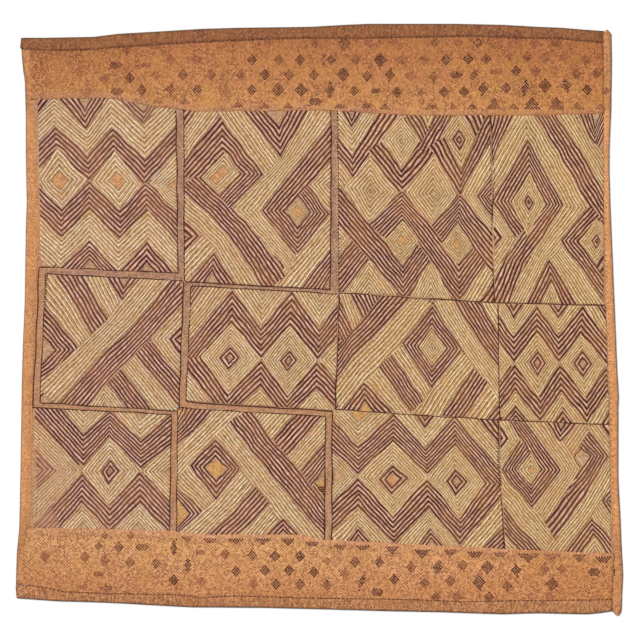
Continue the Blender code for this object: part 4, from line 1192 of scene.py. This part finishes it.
# A folded strip up one side: a lip over the panel's edge, and its outer fold rounded off. It thins
# out to the cloth's own thickness beside the bands.
def stripSheet(name, inner, outer, low, high, thickness):
    heights = np.linspace(low, high, int((high - low) / cloth["grid"]))
    start, end = read(inner, heights), read(outer, heights)
    width = np.abs(end - start)
    outward = 1 if end[0] > start[0] else -1
    roll = outward * np.minimum(cloth["fold"], width * 0.2)
    lip = outward * np.minimum(cloth["lip"], width * 0.45)
    over, thick = cloth["thick"] + cloth["gap"], cloth["thick"]
    field = np.interp(heights, stripPlan["turns"], stripPlan["full"])[:, None]
    # Each line up the strip: its place, its underside, its face beside the panel and beside the bands,
    # and how dark its edge is painted: dirt and painted shade at the rolled outer fold
    lines = [
        (start, thick - 0.2, thick + 0.05, thick - 0.1, 0),
        (start + roll * 0.4, thick, thick + 0.3, thick, 0),
        (start + roll, over, thick + 0.6, thick, 0),
        (start + lip, over, thickness * 0.85, thick, 0),
        (start + lip + outward * cloth["gap"], 0.0, thickness * 0.92, thick, 0),
        (end - roll, 0.0, thickness, thick, 0.15),
        (end - roll * 0.4, 0.2, thickness * 0.85, thick * 0.95, 0.9),
        (end, 0.6, thick, thick * 0.8, 1),
    ]
    places, *rest = zip(*lines)
    undersides, full, thin, worn = (np.array(part)[None] * np.ones_like(field) for part in rest)
    undersides[:, :4] -= (undersides[:, :4] - 0.3) * (1.0 - field)
    faces = full * field + thin * (1.0 - field)
    points = np.stack([np.stack((place, heights), -1) for place in places], 1)
    if outward < 0:
        points, undersides, faces, worn = (part[:, ::-1] for part in (points, undersides, faces, worn))
    banded = np.interp(np.abs(heights), stripPlan["seamTone"], (0.0, 1.0))[:, None] * np.ones_like(faces)
    values = {"hem": onBothSides(faces * 0.0), "edge": onBothSides(worn), "seam": onBothSides(banded)}
    return putMesh(name, *closedSheet(points, undersides, faces), materials["strip"], values=values)


# How many points a stitch has across it
ribPoints = 5


# Single stitches from starts to ends (chart points), each a low round ridge. point(t, s) = start +
# (end - start) t + side s width / 2 (0.25 + 0.75 sin(pi t)^0.5), s from -1 to 1, and it stands
# height (1 - s s)^0.5 sin(pi t)^0.5 above its base, less the 0.25 mm that it is sunk.
def putStitches(name, starts, ends, width, height, base, material, fades=0.0, steps=5, seed=1):
    first, last = fromChart(starts), fromChart(ends)
    count = len(first)
    run = last - first
    side = sideways(run)
    t, s = np.linspace(0.0, 1.0, steps), np.linspace(-1.0, 1.0, ribPoints)
    bulge = np.sin(np.pi * t) ** 0.5
    spread = 0.25 + 0.75 * bulge
    widths = np.broadcast_to(width, count)[:, None, None]
    flat = (first[:, None, None] + run[:, None, None] * t[None, :, None, None]
            + side[:, None, None] * (widths * 0.5 * spread[None, :, None] * s[None, None, :])[..., None])
    rise = height * np.sqrt(1.0 - s**2)[None, :] * bulge[:, None] - 0.25
    under = np.broadcast_to(base, count)[:, None, None]
    z = under + rise[None] + lie(flat[..., 0], flat[..., 1])
    points = np.concatenate((flat, z[..., None]), -1).reshape(-1, 3)
    tones = np.random.default_rng(seed).uniform(0.0, 1.0, count)
    values = {"tone": np.repeat(tones, steps * ribPoints),
              "fade": np.repeat(np.broadcast_to(fades, count), steps * ribPoints)}
    faces = facingUp(points, manyGrids(count, steps, ribPoints))
    return putMesh(name, points, faces, materials[material], values=values)


# Stitches in line along a path of chart points: where each starts and ends.
def alongPath(path, pitch, overlap=1.35, slant=0.0):
    corners = np.array(path, float)
    lengths = distances(corners)
    count = max(1, int(round(lengths[-1] / pitch)))
    marks = np.arange(count) * lengths[-1] / count
    reach = lengths[-1] / count * overlap
    stops = np.minimum(marks + reach, lengths[-1])
    starts, ends = (pointsAt(at, lengths, corners) for at in (marks, stops))
    side = sideways(ends - starts) * slant
    return starts - side, ends + side


# The bare ochre middles of the compartments' lozenges: their corners on the chart
cores = [
    ((50, 180), (59.5, 169.5), (70, 180), (61, 191)), ((107.5, 181), (117, 171), (127, 182), (119, 192)),
    ((170, 183), (176, 176), (177, 184), (176, 191)), ((208, 179), (222, 164), (231, 170), (217, 186)),
    ((290, 211), (297, 203), (304.5, 212), (297.7, 220.5)),
    ((394.5, 241), (401, 234), (407, 241), (400.5, 248)),
    ((452, 244), (457, 238), (461.5, 244), (457.5, 250)), ((398, 141), (401, 137), (404, 141), (401, 146)),
    ((533.5, 362.5), (537.2, 357), (541, 362.7), (537.2, 369)),
    ((385, 479), (393, 470), (401, 478), (392, 488)), ((525, 470), (531, 462), (536.5, 469.5), (531, 477)),
    ((589, 241), (596.5, 232), (603, 241), (596.5, 251)),
]
# More golden ones, most of them beside a compartment's side
goldenCores = [
    ((204, 467), (215.5, 457), (228, 469), (216, 481)),
    ((177.5, 409), (190, 410), (184, 418), (177.5, 426)),
    ((311, 486), (323, 479), (324.5, 492), (321, 499)),
    ((177.5, 499), (189, 513.5), (177.5, 528), (176.5, 513)),
    ((350, 410.5), (370, 411.5), (364, 418.5), (357, 419)),
    ((357, 410), (364.5, 401.5), (373, 411), (365, 411.5)),
]
coreGrid = 5


# The ochre middles as small grids a little over the ground: point(u, v) spans each one's four
# corners.
def patchCores():
    corners = np.array(cores + goldenCores, float)
    even = np.linspace(0, 1, coreGrid)
    u, v = (part[..., None] for part in np.meshgrid(even, even))
    left, top, right, bottom = (corners[:, k][:, None, None] for k in range(4))
    grid = left * (1 - u) * (1 - v) + top * u * (1 - v) + right * u * v + bottom * (1 - u) * v
    flat = fromChart(warped(grid.reshape(-1, 2)))
    points = np.column_stack((flat, cloth["thick"] + cloth["pad"] + 0.1 + lie(*flat.T)))
    faces = facingUp(points, manyGrids(len(corners), coreGrid, coreGrid))
    values = {"core": np.full(len(points), 1.0),
              "golden": np.arange(len(points)) >= len(cores) * coreGrid * coreGrid}
    piece = putMesh("lozenge_middles", points, faces, materials["ground"], values=values)
    return piece


# Outlines of the channels and the single seams, sewn in a dark thread: how far apart the stitches are,
# how wide, and the line that they follow on the chart
seams = [
    (2.4, 1.5, [(176, 106), (177, 190), (178, 273)]), (2.4, 1.7, [(184, 108), (184.5, 200), (184.5, 281)]),
    (2.4, 1.4, [(331, 109), (331, 200), (330, 289.4)]), (3.1, 1.7, [(338, 110), (338.5, 200), (339, 293)]),
    (2.4, 1.6, [(490, 113), (494, 165), (493.6, 198), (490, 238), (495, 303)]),
    (2.4, 1.4, [(39, 267), (178, 273)]), (2.4, 1.4, [(46, 274), (183.5, 280.6), (183, 300), (179, 411)]),
    (2.4, 1.7, [(184.5, 281.6), (330, 289.4)]),
    (2.4, 1.7, [(186, 401), (191, 300), (191, 286), (338, 294)]),
    (2.4, 1.6, [(339, 293), (420, 298.5), (498, 303), (604, 305.5)]),
    (2.4, 1.2, [(39, 267), (37, 320), (33, 406)]), (2.4, 1.2, [(46, 274), (43, 340), (40, 402.5)]),
    (2.4, 1.4, [(40, 402.5), (178, 411)]),
    (2.4, 1.4, [(32, 407.5), (171.4, 414.5), (170.5, 470), (169.4, 534)]),
    (2.4, 1.6, [(186, 400.5), (200, 403), (332.6, 411)]),
    (2.4, 1.9, [(332.6, 411), (332, 480), (332, 548)]),
    (2.4, 1.5, [(176.8, 540), (177.4, 470), (177.6, 407), (200, 409.4), (325.6, 416.5), (325, 470),
                (324, 545)]),
    (2.4, 1.9, [(339, 293), (339.6, 300), (335.4, 409.4)]),
    (2.4, 1.6, [(498, 304), (498, 359), (500, 420)]),
    (2.4, 1.6, [(335, 409), (410, 415), (499.5, 420), (609.5, 424.7)]),
    (2.4, 1.6, [(498, 420), (498, 469), (501.7, 504), (504.6, 553)]),
]


# The dark outlines, a little unevenly sewn. Tight ones overlap and slant, and the others have gaps.
def sewSeams():
    sewn = []
    for pitch, width, path in seams:
        overlap, slant = (1.35, 0.18) if pitch < 3.0 else (0.75, 0.0)
        first, last = alongPath(path, pitch, overlap, slant)
        sewn.append((first, last, np.full(len(first), width)))
    starts, ends, widths = joined(sewn)
    return putStitches("seam_stitches", warped(starts), warped(ends), widths, height=0.95,
                       base=cloth["thick"] + 0.35, material="thread")


# Single loose threads and repairs: how wide each is, and its path on the chart
strays = [
    (0.9, [(576, 119), (580, 116), (586, 116), (590, 120)]),
    (0.9, [(590, 456), (583, 445), (573.5, 456.5), (580, 467)]),
    (1.4, [(614.3, 568), (614.2, 576)]), (1.7, [(318.5, 487), (324.5, 487)]),
    (1.8, [(318, 489), (325.5, 489)]), (1.7, [(319, 491), (324.5, 491)]),
]
# Rows of short stitches across a line: how far apart, how long and how worn they are, and the line
ladders = [
    (2.7, 4.6, 0.3, [(498, 422), (498.2, 468), (500, 486)]), (2.4, 4.4, 0.3, [(46.5, 276), (45, 318)]),
    (5.3, 2.0, 1.0, [(607, 118), (605.5, 250), (609, 330), (611, 420), (614.5, 530)]),
    (4.6, 2.4, 0.8, [(186.3, 128), (187, 200)]), (3.8, 2.2, 0.9, [(40.5, 420), (36, 520)]),
]
# Where a stray thread lies on the right binding or on the bottom band instead of the panel, on the chart
onBinding, onBand = 603.5, 560.0


# The loose threads, and the ladders of short stitches.
def sewStrays():
    sewn = []
    maker = np.random.default_rng(12)
    for width, path in strays:
        first, last = alongPath(path, pitch=2.6, overlap=1.3)
        sewn.append((first, last, np.full(len(first), width), np.zeros(len(first))))
    for pitch, length, worn, path in ladders:
        first, last = alongPath(path, pitch, overlap=0.01)
        reach = 0.5 * length * maker.uniform(0.5, 1.1, len(first))
        shift = np.column_stack((reach, maker.uniform(-0.4, 0.4, len(first))))
        fades = maker.uniform(0.0, 1.0, len(first)) * worn
        sewn.append((first - shift, first + shift, np.full(len(first), 0.95), fades))
    starts, ends, widths, fades = joined(sewn)
    base = np.where(starts[:, 0] > onBinding, 2.1, cloth["thick"] + 0.9)
    base = np.where(starts[:, 1] > onBand, cloth["thick"] + 0.1, base)
    return putStitches("loose_threads", starts, ends, widths, height=0.7, base=base, material="thread",
                       fades=fades, seed=3)


# The running thread of the hems: how far apart its stitches are, how much of that each fills, how
# wide, high and raised it is, how far inward of the seam it runs and how worn it gets
hemming = dict(pitch=4.2, filled=0.8, width=1.2, height=0.7, raised=0.15, inward=0.5, worn=0.4)


# A dark running thread along both hem seams.
def sewHems():
    sewn = []
    for line, up in ((topHemSeam, 1), (bottomHemSeam, -1)):
        path = fromMiddle(np.array(line.along)[1:], np.array(line.place)[1:] - up * hemming["inward"])
        sewn.append(alongPath(path, hemming["pitch"], hemming["filled"]))
    starts, ends = joined(sewn)
    fades = np.random.default_rng(5).uniform(0.0, hemming["worn"], len(starts))
    return putStitches("hem_stitches", starts, ends, hemming["width"], hemming["height"],
                       cloth["thick"] + hemming["raised"], "thread", fades)


# The bands' checkered lozenges: where each lies on the chart, how faded it is, how many cells it
# reaches across and down from its middle, and how far it leans
Spot = namedtuple("Spot", "x y fade wide tall lean", defaults=(3, 3, 0.0))
topSpots = [
    (96, 46, 0.8), (127, 50, 0.4), (269, 43, 0.7), (315, 43, 0.35), (344, 44, 0.35, 4, 4),
    (369, 43, 0.5), (396, 44, 0.75), (435, 42, 0.3, 3, 4), (458, 43, 0.6), (478, 43, 0.3),
    (518, 40, 0.6), (534, 43, 0.5), (556, 43, 0.35), (171, 60, 0.65), (196, 60, 0.5), (252, 60, 0.15),
    (279, 60, 0.4), (300, 60, 0.1), (324, 60, 0.3, 2, 4), (331, 60, 0.15, 3, 4), (356, 60, 0.55),
    (380, 60, 0.0, 4, 4), (403, 59, 0.65), (424, 60, 0.5), (446, 60, 0.05), (468, 59, 0.05),
    (486, 59, 0.15), (509, 56, 0.4, 2, 4, -0.3), (527, 57, 0.3), (545, 59, 0.6), (564, 57, 0.5),
    (585, 60, 0.4), (573, 67, 0.6, 2, 2), (116, 65, 0.3, 4, 3), (146, 65, 0.4, 3, 2), (35, 70, 0.75),
    (47, 82, 0.75), (79, 72, 0.75), (104, 79, 0.55), (130, 78, 0.1), (156, 76, 0.6), (183, 75, 0.25),
    (211, 75, 0.5), (241, 75, 0.35), (265, 75, 0.1), (289, 75, 0.25), (314, 75, 0.15),
    (343, 75, 0.1, 4, 4), (367, 76, 0.1), (390, 75, 0.1, 3, 4, 0.3), (410, 76, 0.65), (434, 77, 0.3),
    (456, 75, 0.1, 4, 3), (474, 75, 0.05, 2, 4, 0.5), (496, 72, 0.5, 4, 2), (516, 71, 0.0, 3, 4),
    (535, 71, 0.5), (555, 70, 0.7), (576, 74, 0.3), (596, 74, 0.3), (88, 92, 0.7), (117, 92, 0.3, 4, 3),
    (142, 90, 0.1), (171, 90, 0.25), (197, 90, 0.1, 3, 4), (226, 90, 0.65), (252, 90, 0.1),
    (278, 90, 0.1, 4, 4), (301, 90, 0.05, 4, 4), (330, 90, 0.0, 3, 5), (354, 91, 0.2),
    (376, 91, 0.1, 3, 2), (397, 92, 0.1), (421, 93, 0.4, 2, 3), (444, 92, 0.1), (464, 92, 0.0),
    (483, 89, 0.0, 3, 4, 0.3), (506, 88, 0.1, 3, 4), (525, 88, 0.0, 2, 5, 0.4), (545, 86, 0.1, 4, 4),
    (566, 86, 0.1, 3, 4, -0.5), (587, 90, 0.05, 3, 4), (606, 91, 0.4, 2, 3), (315, 102, 0.1, 4, 3),
]
# Half lozenges along the seams, of the same values. They are triangles with their base on the seam.
topHalfSpots = [
    (158, 103, 0.5), (185, 104, 0.4), (238, 107, 0.3), (264, 108, 0.3), (288, 108, 0.3),
    (341, 108, 0.2, 4, 3), (366, 108, 0.2), (385, 109, 0.1, 3, 4), (432, 109, 0.2, 4, 3),
    (453, 109, 0.35), (472, 109, 0.2), (494, 109, 0.2, 5, 7), (513, 109, 0.3), (532, 109, 0.0, 5, 9),
    (556, 109, 0.05, 5, 8), (577, 109, 0.3, 4, 4), (600, 109, 0.5),
]
bottomHalfSpots = [
    (187, 537, 0.4), (210, 539, 0.3, 4, 3), (236, 539, 0.1, 5, 3), (263, 539, 0.1, 5, 3),
    (288, 539, 0.0, 4, 4), (312, 542, 0.1, 4, 3), (340, 545, 0.3, 4, 3), (363, 546, 0.1, 4, 3),
    (392, 547, 0.1, 4, 4), (422, 550, 0.0, 5, 5), (450, 550, 0.2, 4, 4), (475, 552, 0.0, 5, 4),
    (500, 553, 0.2, 4, 3), (528, 554, 0.1, 7, 5), (552, 554, 0.4, 6, 4), (579, 555, 0.2, 4, 4),
    (603, 557, 0.0, 5, 4),
]
bottomSpots = [
    (105, 535, 0.4, 2, 2), (131, 535, 0.5, 2, 2), (99, 546, 0.3, 2, 2), (119, 547, 0.3),
    (142, 547, 0.35, 4, 3), (174, 548, 0.0, 2, 4), (200, 552, 0.35, 3, 2), (225, 554, 0.55),
    (252, 555, 0.25), (275, 556, 0.0), (300, 556, 0.05), (327, 561, 0.6, 2, 2), (355, 562, 0.1),
    (379, 562, 0.0), (411, 567, 0.4), (438, 567, 0.0, 3, 5, 0.2), (463, 565, 0.35),
    (487, 567, 0.1, 4, 4), (516, 570, 0.05, 3, 4, -0.4), (544, 569, 0.3, 3, 4, 0.4), (562, 569, 0.55),
    (594, 572, 0.05, 4, 3), (45, 556, 0.6), (85, 557, 0.4), (105, 560, 0.45), (130, 562, 0.45),
    (156, 563, 0.35), (188, 565, 0.05, 2, 4), (236, 571, 0.2), (265, 570, 0.05), (289, 570, 0.0),
    (314, 572, 0.0), (345, 573, 0.6), (362, 581, 0.15, 2, 6, 0.7), (394, 579, 0.1, 3, 4),
    (425, 583, 0.3), (450, 581, 0.1, 3, 4, 0.2), (479, 582, 0.0, 4, 5, -0.2), (507, 586, 0.25),
    (552, 584, 0.2, 4, 5), (99, 574, 0.35, 3, 2), (174, 580, 0.05), (201, 582, 0.6), (254, 584, 0.5),
    (276, 584, 0.1), (300, 584, 0.2), (327, 585, 0.2), (83, 587, 0.6, 3, 2), (106, 588, 0.4, 4, 2),
    (377, 592, 0.2, 4, 3), (436, 597, 0.3), (457, 597, 0.5), (489, 597, 0.3), (550, 597, 0.5),
]
# The lozenges' floats: the size of a cell, how narrow it is across, half a float's length, its height
# and how raised it is, its width when dark and pale, how unevenly it fades, how little faded and what
# share of the pale ones show, and how far from the seam they start
floats = dict(cell=1.5, narrow=0.9, half=0.95, height=0.5, raised=0.25, dark=2.0, pale=1.0,
              uneven=(-0.25, 0.35), paleFade=0.4, paleShare=0.3, off=0.6)


# A band's lozenges: short upright floats on a small check, dark and pale by turns, faded unevenly.
def sewSpots(name, spots, halves, seam, up):
    maker = np.random.default_rng(8)
    cells = np.arange(-8, 9)
    sewn = []
    for number, values in enumerate([*spots, *halves]):
        spot = Spot(*values)
        half = up if number >= len(spots) else 0
        i, j = (part.ravel() for part in np.meshgrid(cells, cells))
        keep = np.abs(i + 0.5 * spot.lean * j) / (spot.wide + 0.9) + np.abs(j) / (spot.tall + 0.6) <= 1.0
        keep &= j * half <= 0
        i, j = i[keep], j[keep]
        at = np.column_stack((spot.x + i * floats["cell"] * floats["narrow"], spot.y + j * floats["cell"]))
        faded = np.clip(spot.fade + maker.uniform(*floats["uneven"], len(i)), 0.0, 1.0)
        sewn.append((at, faded, (i + j + spot.wide) % 2 == 0))
    places, fades, darks = joined(sewn)
    reach = np.array((0.0, floats["half"]))
    beyond = up * (chartMiddle - places[:, 1] - read(seam, places[:, 0] - chartMiddle))
    over, lap = cloth["thick"] * 2 + cloth["gap"], cloth["lap"] + cloth["gap"]
    base = np.interp(beyond, (0.0, cloth["fold"], lap, lap + cloth["step"]),
                     (over - 0.8, over, over, cloth["thick"])) + floats["raised"]
    pales = ~darks & (fades < floats["paleFade"])
    pales &= maker.uniform(0.0, 1.0, len(darks)) < floats["paleShare"]
    pieces = []
    for suffix, keep, material in (("dark", darks, "float"), ("pale", pales, "check")):
        keep = keep & (beyond > floats["off"])
        piece = putStitches(f"{name}_{suffix}", (places - reach)[keep], (places + reach)[keep],
                            floats[suffix], floats["height"], base[keep], material, fades[keep], steps=4,
                            seed=9)
        pieces.append(piece)
    return pieces


# The whip stitches of the side folds: how far apart and how uneven they are, how far in from the fold
# they start and end, how much they slant, and how wide, high and worn they are
whipping = dict(pitch=3.4, uneven=0.5, unevenLength=9.0, start=0.5, end=2.6, slant=0.7, width=0.8,
                height=0.35, worn=0.3)


# Small slanted stitches over both side folds, lower beside the bands.
def sewEdges():
    sewn = []
    for line, inward, low, high, top in ((leftSide, 1, -262.0, 266.0, cloth["strip"]),
                                         (rightSide, -1, -285.0, 284.0, cloth["binding"])):
        y = np.arange(low, high, whipping["pitch"])
        y = y + whipping["uneven"] * ripple(y, y * 0.0, whipping["unevenLength"], 21)
        x = read(line, y)
        field = np.interp(y, (-225.0, -205.0, 205.0, 225.0), (0.0, 1.0, 1.0, 0.0))
        base = (top - 0.25) * field + (cloth["thick"] + 0.1) * (1.0 - field)
        sewn.append((fromMiddle(x + inward * whipping["start"], y),
                     fromMiddle(x + inward * whipping["end"], y + whipping["slant"]), base))
    starts, ends, bases = joined(sewn)
    return putStitches("edge_stitches", starts, ends, whipping["width"], whipping["height"], bases,
                       "whip", whipping["worn"])


# The studio: the floor's size and how pale it is, the light all round, the lamp's strength, softness
# and place, and the camera's lens and sensor. Places and the floor's size are in metres.
studio = dict(floor=6.0, pale=0.93, sky=0.5, sun=2.45, soft=0.3, lamp=(-1.2, 1.1, 2.4), lens=135.0,
              sensor=36.0)


# The pale floor, soft light from the upper left, and the camera straight above.
def makeStage():
    scene = bpy.context.scene
    corners = np.array([(-1, -1, 0), (1, -1, 0), (1, 1, 0), (-1, 1, 0)]) * studio["floor"] / 2
    mesh = bpy.data.meshes.new("floor")
    mesh.from_pydata(corners.tolist(), [], [(0, 1, 2, 3)])
    material, _, shader = newMaterial("floor_paper", roughness=0.9)
    shader.inputs["Base Color"].default_value = (studio["pale"], studio["pale"], studio["pale"], 1.0)
    mesh.materials.append(material)
    floor = putObject("floor", mesh)
    scene.world = bpy.data.worlds.new("studio")
    scene.world.use_nodes = True
    sky = scene.world.node_tree.nodes["Background"]
    sky.inputs["Color"].default_value = white
    sky.inputs["Strength"].default_value = studio["sky"]
    lamp = bpy.data.lights.new("key", "SUN")
    lamp.energy = studio["sun"]
    lamp.angle = studio["soft"]
    key = putObject("key", lamp)
    key.location = studio["lamp"]
    key.rotation_euler = key.location.to_track_quat("Z", "Y").to_euler()
    view = bpy.data.cameras.new("camera")
    view.sensor_width = studio["sensor"]
    view.lens = studio["lens"]
    eye = putObject("camera", view)
    away = view.lens / view.sensor_width * chartSize
    aside = chartSize / 2 - chartMiddle
    eye.location = (aside * mm, -aside * mm, away * mm)
    scene.camera = eye
    scene.view_settings.view_transform = "Standard"


print("stage")
makeStage()
print("sheets")
panel = groundPanel()
topBand = bandSheet("top_band_cloth", fieldTop, topHemSeam, topSide, 1, materials["topBand"])
bottomBand = bandSheet("bottom_band_cloth", fieldBottom, bottomHemSeam, bottomSide, -1,
                       materials["bottomBand"])
leftStrip = stripSheet("left_strip_cloth", leftStripInner, leftSide,
                       read(bottomHemSeam, leftSide.place[0]) + 0.5,
                       read(topHemSeam, leftStripInner.place[-1]) - 0.5, cloth["strip"])
rightStrip = stripSheet("right_strip_cloth", rightStripInner, rightSide, rightSide.along[0],
                        rightSide.along[-1], cloth["binding"])
for piece, node, slot in (
    (panel, "centre_panel", "embroidered_raffia"),
    (topBand, "top_band", "band_raffia"),
    (bottomBand, "bottom_band", "band_raffia"),
    (leftStrip, "left_strip", "strip_raffia"),
    (rightStrip, "right_strip", "strip_raffia"),
):
    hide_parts(node)
print("embroidery")
embroidery = [embroider(key) for key in charts]
print("stitches")
seamPiece, hemPiece, edgePiece, strayPiece = sewSeams(), sewHems(), sewEdges(), sewStrays()
middles = patchCores()
topLozenges = sewSpots("top_lozenges", topSpots, topHalfSpots, fieldTop, 1)
bottomLozenges = sewSpots("bottom_lozenges", bottomSpots, bottomHalfSpots, fieldBottom, -1)
triangles = {piece.name: len(piece.data.loops) - 2 * len(piece.data.polygons)
             for piece in bpy.context.scene.objects if piece.type == "MESH"}
print("triangles", sum(triangles.values()), triangles)
